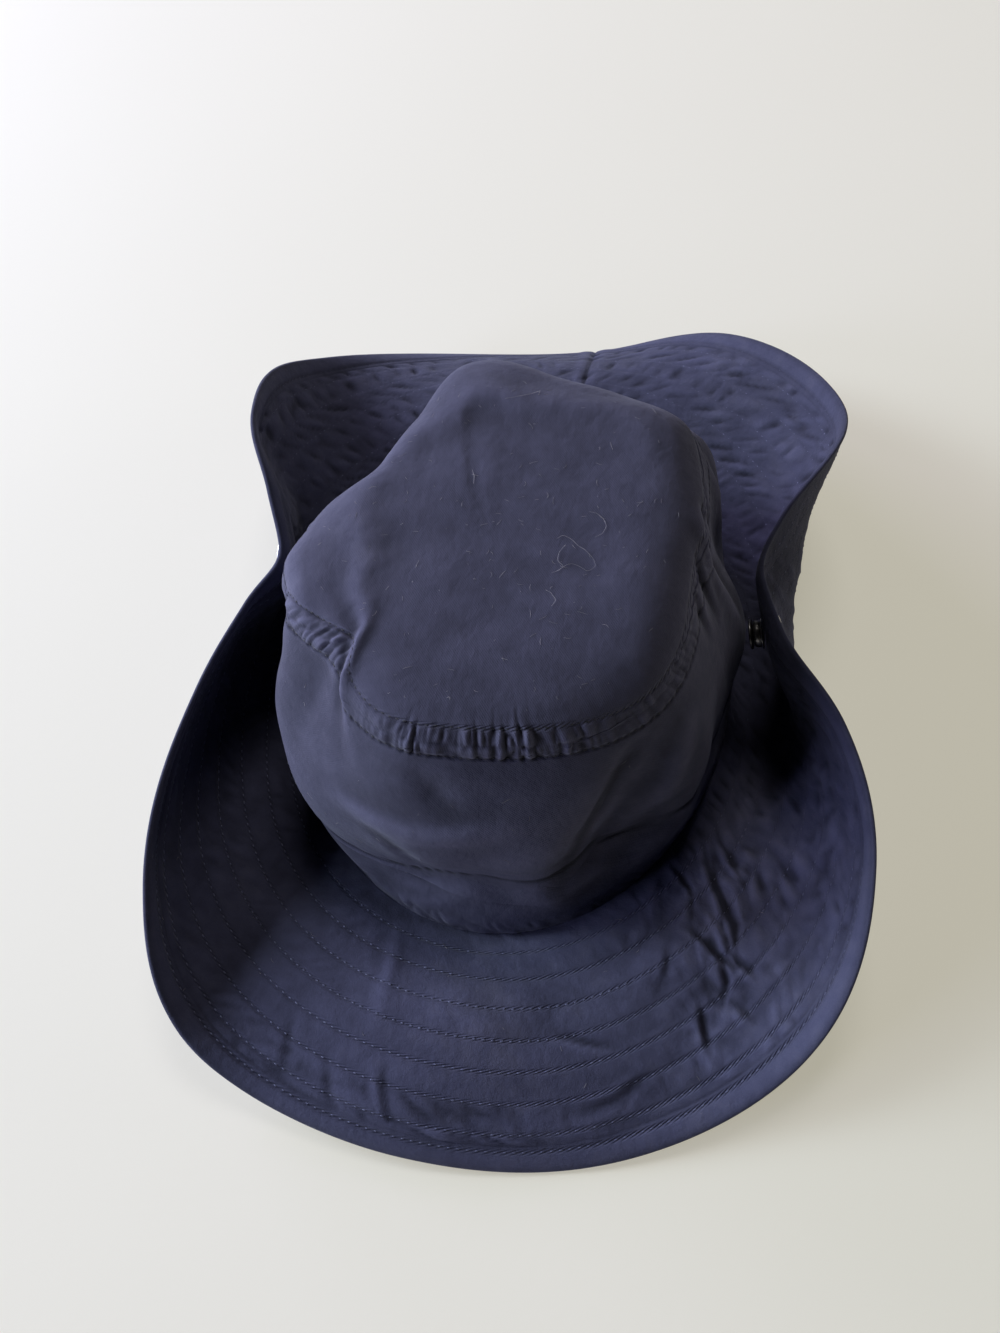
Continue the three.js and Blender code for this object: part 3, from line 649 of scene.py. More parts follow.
def cloth_wall(name, side_a, side_b, material, peak=None, rim=0, flat_weave=False, sewn=1.0, fade_and_painted_light=1.0):
    """Closed wall from two sides, each a grid of points with its lengths round, distances across
    and rise above the cloth close by (the cloth material paints shade where it is low and highlight where it is high):
    side_a faces the way its grid's normals do, side_b the other way. Sewn says, for each column, how far the stitches
    pull in, and the last argument how much paler or darker the cloth is there, partly fading and partly painted light
    and shade. The first and last rings are joined by edge strips, the last one rounded by
    the rim's rings, or the last ring closes on a peak point of each side."""
    points_a, lengths, across = side_a[:3]
    points_b = side_b[0]
    count = points_a.shape[1]
    points = [points_a.reshape(-1, 3), points_b.reshape(-1, 3)]
    first_b = len(points[0])
    total = first_b + len(points[1])
    quads_a, uv_a = side_faces(*side_a[:3])
    quads_b, uv_b = side_faces(*side_b[:3])
    faces = [quads_a, quads_b[:, ::-1] + first_b]
    uvs = [uv_a, uv_b[:, ::-1]]
    ring = np.arange(count)
    after = (ring + 1) % count

    def strip(ring_a, ring_b, us, v):
        """Quads from a ring to the next one, facing away from the wall's middle"""
        faces.append(np.stack([ring_a, ring_a[after], ring_b[after], ring_b], -1))
        u = np.stack([us[:-1], us[1:], us[1:], us[:-1]], -1)
        uvs.append(np.stack([u, np.full_like(u, v)], -1))

    strip(first_b + ring, ring, lengths[0], float(np.mean(across[0])))
    top_a = first_b - count
    top_b = total - count
    v_end = float(np.mean(across[-1]))
    if peak is None:
        last = top_a + ring
        centre = (points_a[-1] + points_b[-1]) / 2
        half = (points_a[-1] - points_b[-1]) / 2
        beyond = centre - (points_a[-2] + points_b[-2]) / 2
        size = np.linalg.norm(half, axis=-1, keepdims=True)
        beyond = beyond / np.linalg.norm(beyond, axis=-1, keepdims=True) * size
        for step in range(1, rim + 1):
            turn = math.pi * step / (rim + 1)
            points.append(centre + half * math.cos(turn) + beyond * math.sin(turn))
            strip(last, total + ring, lengths[-1], v_end)
            last = total + ring
            total += count
        strip(last, top_b + ring, lengths[-1], v_end)
    else:
        points.append(np.array(peak))
    points = np.concatenate(points)
    polygons = np.concatenate(faces).tolist()
    loops_uv = np.concatenate(uvs).reshape(-1, 2)
    if peak is not None:
        u_a, u_b = lengths[-1, :-1], lengths[-1, 1:]
        level = np.full(count, v_end)
        cap_uv = np.stack([np.stack([u_a, level], -1), np.stack([u_b, level], -1),
                           np.stack([(u_a + u_b) / 2, level], -1)], 1).reshape(-1, 2)
        polygons += np.stack([top_a + ring, top_a + after, np.full(count, total)], -1).tolist()
        polygons += np.stack([top_b + after, top_b + ring, np.full(count, total + 1)], -1).tolist()
        loops_uv = np.concatenate([loops_uv, cap_uv, cap_uv])
    mesh = bpy.data.meshes.new(name)
    spots = placed(points)
    spots[:, 2] = np.maximum(spots[:, 2], 0.0)
    mesh.from_pydata(spots.tolist(), [], polygons)
    rise = np.zeros(len(points))
    rise[:first_b] = side_a[3].ravel()
    rise[first_b:first_b + points_b.shape[0] * count] = side_b[3].ravel()
    mesh.attributes.new("rise", "FLOAT", "POINT").data.foreach_set("value", rise.astype(np.float32))
    for label, columns in (("sewn", sewn), ("fade_and_painted_light", fade_and_painted_light)):
        values = np.resize(np.broadcast_to(columns, (count,)), len(points)).astype(np.float32)
        mesh.attributes.new(label, "FLOAT", "POINT").data.foreach_set("value", values)
    layer = mesh.uv_layers.new(name="cloth")
    layer.data.foreach_set("uv", (loops_uv * MM).astype(np.float32).ravel())
    weave = loops_uv
    if flat_weave:
        corner = np.zeros(len(mesh.loops), np.int32)
        mesh.loops.foreach_get("vertex_index", corner)
        weave = points[corner][:, :2]
    layer = mesh.uv_layers.new(name="weave")
    layer.data.foreach_set("uv", (weave * MM).astype(np.float32).ravel())
    return finished(name, mesh, material)


def finished(name, mesh, material):
    """Smooth shaded object with one material, linked to the scene"""
    mesh.materials.clear()
    mesh.materials.append(material)
    mesh.polygons.foreach_set("use_smooth", [True] * len(mesh.polygons))
    mesh.validate()
    mesh.update()
    piece = bpy.data.objects.new(name, mesh)
    bpy.context.scene.collection.objects.link(piece)
    return piece


def put_on_hat(piece, node=None):
    """Ride a piece on the hat's one body, in place of a CAD node where one is named"""
    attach(piece, "root")
    if node is not None:
        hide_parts(node)


def stitch_tree():
    """Node tree that sets a small rounded stitch on each point, along its row"""
    tree = bpy.data.node_groups.new("Stitch Rows", "GeometryNodeTree")
    link = tree.links.new

    def socket(label, kind, default=None, in_out="INPUT"):
        made = tree.interface.new_socket(label, in_out=in_out, socket_type="NodeSocket" + kind)
        if default is not None:
            made.default_value = default
        return made

    def node(kind, **settings):
        made = tree.nodes.new(kind)
        for key, value in settings.items():
            setattr(made, key, value)
        return made

    def vector(label):
        made = node("GeometryNodeInputNamedAttribute", data_type="FLOAT_VECTOR")
        made.inputs["Name"].default_value = label
        return made.outputs["Attribute"]

    socket("Geometry", "Geometry")
    for label, default in (("Stitch Length", 0.0022), ("Thread Width", 0.0006), ("Thread Height", 0.0004)):
        socket(label, "Float", default).subtype = "DISTANCE"
    socket("Unevenness", "Float", 0.2)
    socket("Seed", "Int", 7)
    socket("Thread", "Material")
    socket("Geometry", "Geometry", in_out="OUTPUT")
    given = node("NodeGroupInput").outputs
    bead = node("GeometryNodeMeshUVSphere")
    for label, value in (("Segments", 6), ("Rings", 4), ("Radius", 0.5)):
        bead.inputs[label].default_value = value
    size = node("ShaderNodeCombineXYZ")
    for axis, label in (("X", "Stitch Length"), ("Y", "Thread Width"), ("Z", "Thread Height")):
        link(given[label], size.inputs[axis])
    face_out = node("FunctionNodeAlignEulerToVector", axis="Z")
    link(vector("outward"), face_out.inputs["Vector"])
    face_along = node("FunctionNodeAlignEulerToVector", axis="X", pivot_axis="Z")
    link(face_out.outputs["Rotation"], face_along.inputs["Rotation"])
    link(vector("along"), face_along.inputs["Vector"])
    low = node("ShaderNodeMath", operation="SUBTRACT")
    low.inputs[0].default_value = 1.0
    link(given["Unevenness"], low.inputs[1])
    spread = node("FunctionNodeRandomValue", data_type="FLOAT")
    link(low.outputs[0], spread.inputs[2])
    spread.inputs[3].default_value = 1.0
    link(given["Seed"], spread.inputs["Seed"])
    scaled = node("ShaderNodeVectorMath", operation="SCALE")
    link(size.outputs[0], scaled.inputs[0])
    link(spread.outputs[1], scaled.inputs["Scale"])
    put = node("GeometryNodeInstanceOnPoints")
    link(given["Geometry"], put.inputs["Points"])
    link(bead.outputs["Mesh"], put.inputs["Instance"])
    link(face_along.outputs["Rotation"], put.inputs["Rotation"])
    link(scaled.outputs[0], put.inputs["Scale"])
    real = node("GeometryNodeRealizeInstances")
    link(put.outputs["Instances"], real.inputs["Geometry"])
    dressed = node("GeometryNodeSetMaterial")
    link(real.outputs["Geometry"], dressed.inputs["Geometry"])
    link(given["Thread"], dressed.inputs["Material"])
    link(dressed.outputs["Geometry"], node("NodeGroupOutput").inputs[0])
    return tree


def grown(name, tree, points, vectors, settings):
    """Mesh that a node tree makes on loose points with named vectors"""
    base = bpy.data.meshes.new(name + "_points")
    base.from_pydata(points.tolist(), [], [])
    for label, values in vectors.items():
        layer = base.attributes.new(label, "FLOAT_VECTOR", "POINT")
        layer.data.foreach_set("vector", values.astype(np.float32).ravel())
    holder = bpy.data.objects.new(name + "_points", base)
    bpy.context.scene.collection.objects.link(holder)
    modifier = holder.modifiers.new("Rows", "NODES")
    modifier.node_group = tree
    for item in tree.interface.items_tree:
        if item.item_type == "SOCKET" and item.in_out == "INPUT" and item.name in settings:
            modifier[item.identifier] = settings[item.name]
    bpy.context.view_layer.update()
    evaluated = holder.evaluated_get(bpy.context.evaluated_depsgraph_get())
    mesh = bpy.data.meshes.new_from_object(evaluated)
    holder.modifiers.clear()
    bpy.data.objects.remove(holder)
    bpy.data.meshes.remove(base)
    mesh.name = name
    return mesh


class Face:
    """One face of a cloth wall, as a grid that rows of stitches can be laid on"""

    def __init__(self, points, normal, across):
        self.points = points
        self.normal = normal
        self.across = across

    def row(self, at, first, last, pitch, lift):
        """Places, ways and facings of stitches along the cloth at a distance across, the same or
        one for each column, between two shares of the way round"""
        shape = self.points.shape[:2]
        column = np.arange(shape[1])
        at = np.broadcast_to(at, column.shape)
        across = np.broadcast_to(self.across if self.across.ndim == 2 else self.across[:, None], shape)
        i = np.clip((across < at).sum(0) - 1, 0, len(across) - 2)
        f = ((at - across[i, column]) / (across[i + 1, column] - across[i, column]))[:, None]
        begin = int(first * len(column))
        end = int(last * len(column)) + 1

        def cut(grid):
            line = grid[i, column] * (1 - f) + grid[i + 1, column] * f
            return np.concatenate([line, line[:1]])[begin:end]

        def picked(values, lengths):
            return np.stack([np.interp(lengths, gone, values[:, k]) for k in range(3)], -1)

        line, facing = cut(self.points), cut(self.normal)
        gone = np.concatenate([[0], np.cumsum(np.linalg.norm(np.diff(line, axis=0), axis=-1))])
        number = int(gone[-1] / pitch)
        lengths = (np.arange(number) + 0.5) * gone[-1] / number
        normal = picked(facing, lengths)
        normal /= np.linalg.norm(normal, axis=-1, keepdims=True)
        way = picked(line, lengths + 0.5) - picked(line, lengths - 0.5)
        return picked(line, lengths) + normal * lift, way, normal


def stitched(name, rows, material, seed):
    """Rows of stitches as one piece, nowhere below the floor"""
    if "stitches" not in MADE:
        MADE["stitches"] = stitch_tree()
    points, ways, facings = (np.concatenate(part) for part in zip(*rows))
    sizes = {label: size * MM for label, size in STITCH_SIZES.items()}
    mesh = grown(
        name, MADE["stitches"], placed(points), {"along": tilted(ways), "outward": tilted(facings)},
        {**sizes, "Seed": seed, "Thread": material},
    )
    spots = np.zeros(len(mesh.vertices) * 3, np.float32)
    mesh.vertices.foreach_get("co", spots)
    spots[2::3] = np.maximum(spots[2::3], 0.0)
    mesh.vertices.foreach_set("co", spots)
    return finished(name, mesh, material)


# Materials

class Shader:
    """Builds a material's node tree in short steps"""

    def __init__(self, name):
        self.material = bpy.data.materials.new(name)
        self.material.use_nodes = True
        self.tree = self.material.node_tree
        self.base = self.tree.nodes["Principled BSDF"]

    def node(self, kind, **settings):
        made = self.tree.nodes.new(kind)
        for key, value in settings.items():
            setattr(made, key, value)
        return made

    def link(self, source, target):
        self.tree.links.new(source, target)

    def math(self, operation, a, b=None, c=None):
        made = self.node("ShaderNodeMath", operation=operation)
        for socket, value in zip(made.inputs, (a, b, c)):
            if value is None:
                continue
            if isinstance(value, (int, float)):
                socket.default_value = value
            else:
                self.link(value, socket)
        return made.outputs[0]

    def noise(self, vector, scale, detail=2.0, roughness=0.5):
        made = self.node("ShaderNodeTexNoise")
        self.link(vector, made.inputs["Vector"])
        made.inputs["Scale"].default_value = scale
        made.inputs["Detail"].default_value = detail
        made.inputs["Roughness"].default_value = roughness
        return made.outputs["Fac"]

    def ramp(self, value, stops):
        made = self.node("ShaderNodeValToRGB")
        self.link(value, made.inputs["Fac"])
        ramp = made.color_ramp
        while len(ramp.elements) < len(stops):
            ramp.elements.new(0.5)
        for element, (at, colour) in zip(ramp.elements, stops):
            element.position = at
            element.color = (*colour, 1.0)
        return made.outputs["Color"]

    def bump(self, height, strength, distance, after=None):
        made = self.node("ShaderNodeBump")
        made.inputs["Strength"].default_value = strength
        made.inputs["Distance"].default_value = distance
        self.link(height, made.inputs["Height"])
        if after is not None:
            self.link(after, made.inputs["Normal"])
        return made.outputs["Normal"]


def cloth_material(name, colour, worn, rows, pitch):
    """Brushed twill: worn and darker patches, painted shade in the relief's hollows and painted highlight on its
    ridges, a tone by direction that is partly fading and partly painted light and shade, diagonal weave, fine nap,
    rumples, and dimples along the stitched rows"""
    s = Shader(name)
    place = s.node("ShaderNodeTexCoord").outputs["Object"]
    uv = s.node("ShaderNodeUVMap", uv_map="cloth").outputs["UV"]
    split = s.node("ShaderNodeSeparateXYZ")
    s.link(uv, split.inputs[0])
    u = split.outputs["X"]
    v = split.outputs["Y"]
    patches = s.noise(place, 14.0, 4.0, 0.6)
    mottle = s.noise(place, 160.0, 3.0, 0.6)
    nap = s.noise(place, 2600.0, 2.0, 0.6)
    mixed = s.math("MULTIPLY_ADD", patches, 0.5, s.math("MULTIPLY_ADD", mottle, 0.3, s.math("MULTIPLY", nap, 0.2)))
    dark = tuple(c * 0.72 for c in colour)
    light = tuple(a + (b - a) * 0.5 for a, b in zip(colour, worn))
    tint = s.ramp(mixed, [(0.34, dark), (0.5, colour), (0.66, light)])
    # Painted shade in the relief's hollows and painted highlight on its ridges, from how far each place rises above the
    # cloth round it
    rise = s.node("ShaderNodeAttribute", attribute_name="rise").outputs["Fac"]
    shade = s.math("MINIMUM", s.math("MAXIMUM", s.math("MULTIPLY_ADD", rise, 0.9, 1.0), 0.22), 1.4)
    # Tone by direction: partly fading, partly painted light and shade
    fade_and_painted_light = s.node("ShaderNodeAttribute", attribute_name="fade_and_painted_light").outputs["Fac"]
    shade = s.math("MULTIPLY", shade, fade_and_painted_light)
    tone = s.node("ShaderNodeVectorMath", operation="SCALE")
    s.link(tint, tone.inputs[0])
    s.link(shade, tone.inputs["Scale"])
    s.link(tone.outputs[0], s.base.inputs["Base Color"])
    s.base.inputs["Roughness"].default_value = 0.93
    s.base.inputs["Specular IOR Level"].default_value = 0.22
    s.base.inputs["Sheen Weight"].default_value = 0.16
    s.base.inputs["Sheen Roughness"].default_value = 0.45
    s.base.inputs["Sheen Tint"].default_value = (0.62, 0.64, 0.78, 1.0)
    woven = s.node("ShaderNodeSeparateXYZ")
    s.link(s.node("ShaderNodeUVMap", uv_map="weave").outputs["UV"], woven.inputs[0])
    warp = woven.outputs["X"]
    weft = woven.outputs["Y"]
    twill = s.math("SINE", s.math("MULTIPLY", s.math("ADD", warp, weft), 2 * math.pi / TWILL_PITCH))
    crossing = s.math("SUBTRACT", warp, s.math("MULTIPLY", weft, 0.6))
    thread = s.math("SINE", s.math("MULTIPLY", crossing, 2 * math.pi / YARN_PITCH))
    weave = s.math("MULTIPLY_ADD", twill, 0.5, s.math("MULTIPLY", thread, 0.22))
    normal = s.bump(weave, 0.22, 0.00018)
    normal = s.bump(nap, 0.35, 0.0003, normal)
    rumple = s.noise(place, 330.0, 3.0, 0.55)
    normal = s.bump(rumple, 0.30, 0.0011, normal)
    if rows:
        total = None
        for row in rows:
            gap = s.math("SUBTRACT", v, row * MM)
            gap = s.math("DIVIDE", s.math("ABSOLUTE", gap), DIMPLE_REACH)
            near = s.math("SUBTRACT", 1.0, s.math("MINIMUM", gap, 1.0))
            total = near if total is None else s.math("MAXIMUM", total, near)
        beat = s.math("SINE", s.math("MULTIPLY", u, 2 * math.pi / (pitch * MM)))
        dimple = s.math("MULTIPLY", total, s.math("MULTIPLY_ADD", beat, 0.4, -0.6))
        sewn = s.node("ShaderNodeAttribute", attribute_name="sewn").outputs["Fac"]
        dimple = s.math("MULTIPLY", dimple, sewn)
        normal = s.bump(dimple, 0.8, 0.0006, normal)
    s.link(normal, s.base.inputs["Normal"])
    return s.material


def thread_material(name, colour):
    """Twisted sewing thread"""
    s = Shader(name)
    place = s.node("ShaderNodeTexCoord").outputs["Object"]
    twist = s.noise(place, 900.0, 2.0, 0.5)
    tint = s.ramp(twist, [(0.3, tuple(c * 0.7 for c in colour)), (0.7, colour)])
    s.link(tint, s.base.inputs["Base Color"])
    s.base.inputs["Roughness"].default_value = 0.7
    s.base.inputs["Sheen Weight"].default_value = 0.2
    normal = s.bump(s.noise(place, 4200.0, 1.0, 0.5), 0.4, 0.0002)
    s.link(normal, s.base.inputs["Normal"])
    return s.material


def fibre_material(name, colour):
    """Pale dull fibre"""
    s = Shader(name)
    place = s.node("ShaderNodeTexCoord").outputs["Object"]
    patches = s.noise(place, 300.0, 2.0, 0.5)
    tint = s.ramp(patches, [(0.3, tuple(c * 0.35 for c in colour)), (0.7, colour)])
    s.link(tint, s.base.inputs["Base Color"])
    s.base.inputs["Roughness"].default_value = 0.8
    return s.material


def stud_material(name, low, high):
    """Dull metal, stained and worn, with fine turning marks"""
    s = Shader(name)
    place = s.node("ShaderNodeTexCoord").outputs["Object"]
    stains = s.noise(place, 420.0, 4.0, 0.6)
    tint = s.ramp(stains, [(0.32, low), (0.62, high)])
    s.link(tint, s.base.inputs["Base Color"])
    s.base.inputs["Metallic"].default_value = 1.0
    rough = s.ramp(stains, [(0.3, (0.5, 0.5, 0.5)), (0.7, (0.26, 0.26, 0.26))])
    s.link(rough, s.base.inputs["Roughness"])
    normal = s.bump(s.noise(place, 2600.0, 2.0, 0.5), 0.2, 0.0002)
    s.link(normal, s.base.inputs["Normal"])
    return s.material


def floor_material(name, colour, glow):
    """Pale matte surface with barely visible unevenness and a faint glow that lifts its shadows"""
    s = Shader(name)
    place = s.node("ShaderNodeTexCoord").outputs["Object"]
    patches = s.noise(place, 3.0, 3.0, 0.5)
    tint = s.ramp(patches, [(0.3, tuple(c * 0.97 for c in colour)), (0.7, colour)])
    s.link(tint, s.base.inputs["Base Color"])
    s.base.inputs["Roughness"].default_value = 0.7
    s.base.inputs["Specular IOR Level"].default_value = 0.15
    s.base.inputs["Emission Color"].default_value = (1.0, 0.95, 0.76, 1.0)
    s.base.inputs["Emission Strength"].default_value = glow
    normal = s.bump(s.noise(place, 260.0, 3.0, 0.5), 0.08, 0.0004)
    s.link(normal, s.base.inputs["Normal"])
    return s.material


# Settings a user would change

class HatSettings(bpy.types.PropertyGroup):
    """Sizes and colours of the hat's looks"""

    columns: bpy.props.IntProperty(
        name="Columns round the hat", description="Fineness of the cloth round the hat", default=860, min=84, max=900)
    pleat_depth: bpy.props.FloatProperty(
        name="Pleat depth", description="Depth of the pleats gathered into the tip seam",
        default=0.92 * MM, unit="LENGTH", subtype="DISTANCE")
    pucker_depth: bpy.props.FloatProperty(
        name="Pucker depth", description="Depth of the puckers between the brim's stitched rows",
        default=0.42 * MM, unit="LENGTH", subtype="DISTANCE")
    row_groove: bpy.props.FloatProperty(
        name="Row groove", description="How deep the brim's stitched rows pull into the cloth",
        default=0.10 * MM, unit="LENGTH", subtype="DISTANCE")
    stitch_pitch: bpy.props.FloatProperty(
        name="Stitch spacing", description="Distance from one stitch to the next along a row",
        default=3.0 * MM, unit="LENGTH", subtype="DISTANCE")
    crown_colour: bpy.props.FloatVectorProperty(
        name="Crown cloth", description="Colour of the crown's cloth", subtype="COLOR",
        default=(0.062, 0.062, 0.100), size=3)
    brim_colour: bpy.props.FloatVectorProperty(
        name="Brim cloth", description="Colour of the brim's cloth", subtype="COLOR",
        default=(0.059, 0.061, 0.108), size=3)
    worn_colour: bpy.props.FloatVectorProperty(
        name="Worn cloth", description="Colour of the cloth where it is rubbed and faded", subtype="COLOR",
        default=(0.105, 0.105, 0.155), size=3)
    thread_colour: bpy.props.FloatVectorProperty(
        name="Thread", description="Colour of the sewing thread", subtype="COLOR",
        default=(0.120, 0.130, 0.230), size=3)
    crown_thread_colour: bpy.props.FloatVectorProperty(
        name="Crown thread", description="Colour of the crown's sewing thread", subtype="COLOR",
        default=(0.016, 0.016, 0.026), size=3)


class StageSettings(bpy.types.PropertyGroup):
    """Floor, light and camera"""

    floor_colour: bpy.props.FloatVectorProperty(
        name="Floor", description="Colour of the floor", subtype="COLOR", default=(0.48, 0.48, 0.47), size=3)
    floor_glow: bpy.props.FloatProperty(
        name="Floor glow", description="Strength of the faint glow that lifts the floor's shadows",
        default=0.41, min=0.0)
    window_power: bpy.props.FloatProperty(
        name="Window light", description="Power of the large light at the left", default=45.0, unit="POWER")
    fill_strength: bpy.props.FloatProperty(
        name="Room light", description="Strength of the light from all round", default=0.004, min=0.0)


def hat_settings():
    return bpy.context.scene.sun_hat


def brim_levels():
    """Distances from the brim seam of the brim's rings, close together at the stitched rows"""
    levels = {0.0, 0.6, 1.3, 2.2, 3.2, 4.5, 6.0, 7.3}
    for row in BRIM_ROWS:
        levels.update(row + step for step in (-0.8, 0.0, 0.8, 2.0, 3.4, 4.75, 6.1, 7.4))
    levels = {level for level in levels if level < 70.0}
    levels.update((70.2, 70.9, 71.3, 71.7, 72.5, 73.2, 73.9, 75.0, 76.4, 77.8, 79.0, 79.9))
    return np.array(sorted(levels))


def column_angles():
    """Directions of the cloth's columns, once round from the back"""
    count = hat_settings().columns
    return BACK + np.arange(count) * 360.0 / count


def lobe_share(angle):
    """1 on the brim's lobes, 0 at the front"""
    shares = [strength * hump(turn_between(at, angle), spread, flat) for at, strength, spread, flat in LOBES]
    return np.max(shares, axis=0)


def painted_light_and_fade_by_direction(tones, angle):
    """How pale or dark the cloth is by direction, 1 where it is plain: partly fading, partly painted light and shade"""
    pale = 1.0
    for at, amount, spread, flat in tones:
        pale = pale + amount * hump(turn_between(at, angle), spread, flat)
    return pale


def brim_relief(out, angle, lengths):
    """Height of the brim's cloth above its plain shape: grooves, puckers and creases"""
    settings = hat_settings()
    groove = settings.row_groove / MM
    pucker = settings.pucker_depth / MM
    relief = np.zeros((len(out), len(angle)))
    o = out[:, None]
    gone = lengths[:, :-1] / lengths[:, -1:]
    edges = (0.0,) + BRIM_ROWS + (HEM_CREASE,)
    lobes = lobe_share(angle)[None]
    amount, hem, lean = (around(BRIM_PUCKERS, name, angle)[None] for name in ("amount", "hem", "lean"))
    uneven = 0.55 + 1.3 * round_ripple(gone, 22.0, o / 16.0, 3) ** 2

    # Puckers and dashes in each strip between two rows of stitching
    for k, (low, high) in enumerate(zip(edges[:-1], edges[1:])):
        share = np.clip((o - low) / (high - low), 0, 1)
        inside = (share > 0) * (share < 1)
        puff = np.sin(share * math.pi) ** 0.5
        swerve = 1.2 * round_ripple(gone, 9.0, gone * 0 + k, 9)
        tilt = (o - low) * (lean + 0.5 * math.sin(k * 2.3)) + swerve
        waves = puckered(gone, PUCKER_LENGTH, o / 9.0 + k * 3.1, 11 + k, tilt)
        finer = round_ripple(gone, FINE_PUCKER_LENGTH, o / 3.5 + k * 2.3, 31 + k, tilt)
        size = pucker * uneven * (hem if k >= len(BRIM_ROWS) - 1 else amount)
        place = gone * round(HEAD_ROUND / DASH_SPACING) + 0.37 * k + (tilt + 1.6 * swerve) / DASH_SPACING
        strength = 0.35 + 0.65 * round_ripple(gone, DASH_SPACING, o / 7.0 + k, 71) ** 2 * 3
        dash = ridge(np.sin(place * math.pi) * 2.0, 0.85) * strength
        relief -= lobes * puff ** 2 * inside * np.clip(dash, 0, 1.1) * DASH_DEPTH
        relief += puff * inside * size * (0.75 * waves + 0.4 * finer)

    # Rows pulled in by their stitches, and the hem's crease, row and rounded roll
    for row in BRIM_ROWS:
        relief -= groove * (1 - 0.7 * lobes) * ridge(o - row, GROOVE_WIDTH)
    relief -= 2.2 * groove * ridge(o - HEM_CREASE, 0.45)
    relief -= 1.2 * groove * ridge(o - HEM_ROW, 0.5)
    relief += 0.35 * hump(o - 76.5, 3.4, 1.6)

    # Larger creases, slow unevenness and a jumble of creases at the right front, all fading out
    # at the brim seam and the hem
    creases = CREASE_STRENGTH * crease_depth(BRIM_CREASES, angle[None], o, BRIM_DEGREE)
    slow = 0.5 * round_ripple(gone, 20.0, o / 16.0, 5) + 0.25 * round_ripple(gone, 9.0, o / 9.0, 6)
    coarse = 0.30 * puckered(gone, 4.0, o / 8.0, 8, o * 0.45)
    fine = 0.16 * round_ripple(gone, 2.6, o / 3.0, 10, o * 0.3)
    jumble = hump(turn_between(330, angle), 34, 10) * (coarse + fine) * hump(o - 38.0, 36.0, 22.0)
    quiet = hump(o, 5.0) + hump(o - BRIM_WIDTH, 9.5, 6.5)
    relief += (creases + slow + jumble) * (1 - np.clip(quiet, 0, 1))

    # Back seam
    seam = turn_between(BACK, angle)[None] * BACK_SEAM_DEGREE
    relief -= 0.7 * ridge(seam, 0.8)
    relief += 0.3 * hump(np.abs(seam) - 4.0, 3.5)
    return relief


def crown_relief(up, angle, gone):
    """Height of the crown's cloth above its plain shape, by distance from the tip seam"""
    depth = hat_settings().pleat_depth / MM
    amount, reach = (around(PLEATS, name, angle)[None] for name in ("amount", "reach"))
    trim, shift = (around(SEAM_TRIM, name, angle)[None] for name in ("out", "shift"))
    from_seam = up - shift
    lean = 0.5 * hump(turn_between(352, angle), 46, 20) - 0.25 * hump(turn_between(222, angle), 18, 6)
    tilt = from_seam * lean + 0.8 * round_ripple(gone, 9.0, from_seam / 9.0, 20)
    length = reach * (0.5 + 0.7 * np.abs(round_ripple(gone, 5.5, gone * 0 + 2.5, 22)))
    upward = 0.55 * hump(from_seam, np.maximum(length, 3.0), 1.0)
    upward += 0.45 * hump(from_seam, TOPSTITCH + 1.5, TOPSTITCH - 1.0)
    downward = hump(from_seam, TOPSTITCH + 1.8, TOPSTITCH - 0.8)
    fold = np.where(from_seam > 0, upward, downward)
    folds = puckered(gone, PLEAT_LENGTH, from_seam / 22.0, 21, tilt)
    uneven = 0.45 + 0.75 * np.abs(round_ripple(gone, 8.0, gone * 0 + 0.5, 24)) + 0.2
    relief = 0.65 * depth * amount * uneven * fold * folds
    for k, middle in enumerate((-TOPSTITCH / 2, TOPSTITCH / 2)):
        puff = np.cos(np.clip((from_seam - middle) / TOPSTITCH, -0.5, 0.5) * math.pi) ** 0.5
        tucks = puckered(gone, TUCK_LENGTH, from_seam / 9.0 + 3 * k, 51 + k, tilt)
        relief += 0.95 * depth * amount * uneven * puff * tucks
    relief += 0.30 * depth * amount * hump(from_seam - 1.0, TOPSTITCH + 3.0, 2.0)
    small = round_ripple(gone, WRINKLE_LENGTH, from_seam / 2.6, 23, tilt)
    relief += 0.12 * amount * small * hump(from_seam, TOPSTITCH + 1.0, TOPSTITCH - 1.5)
    relief -= (0.10 + 0.16 * amount) * ridge(from_seam, STITCH_LINE_WIDTH)
    for line in (-TOPSTITCH, TOPSTITCH):
        relief -= (0.10 + 0.20 * amount) * ridge(from_seam - line, STITCH_LINE_WIDTH)
    slow = 0.35 * round_ripple(gone, 34.0, up / 19.0, 25) + 0.15 * round_ripple(gone, 16.0, up / 10.0, 26)
    creases = crease_depth(CROWN_CREASES, angle, up, CROWN_DEGREE)
    return relief + slow + creases + trim * hump(up + 3.0, 20.0, 2.0)


def base_relief(above, angle, gone):
    """Crease and puckers at the base stitching, by distance above the band"""
    line, depth = (around(BASE_LINE, name, angle)[None] for name in ("up", "depth"))
    up = above - line
    facets = round_ripple(gone, 15.0, up / 12.0, 41, up * 0.4)
    ruffles = puckered(gone, 3.4, up / 9.0, 43, up * 0.4)
    relief = -depth * np.where(up < 0, ridge(up, 9.0), ridge(up, 12.0))
    relief -= 1.0 * ridge(up, 0.75)
    relief += 1.0 * facets * np.where(up < 0, hump(up + 9.0, 12.0, 3.0), 0)
    relief += 0.40 * ruffles * hump(above + BAND_HEIGHT - 3.0, 7.0, 2.0)
    relief += 0.22 * round_ripple(gone, 2.6, up / 4.0, 44, up * 0.3) * hump(up, 3.0, 0.5)
    return relief


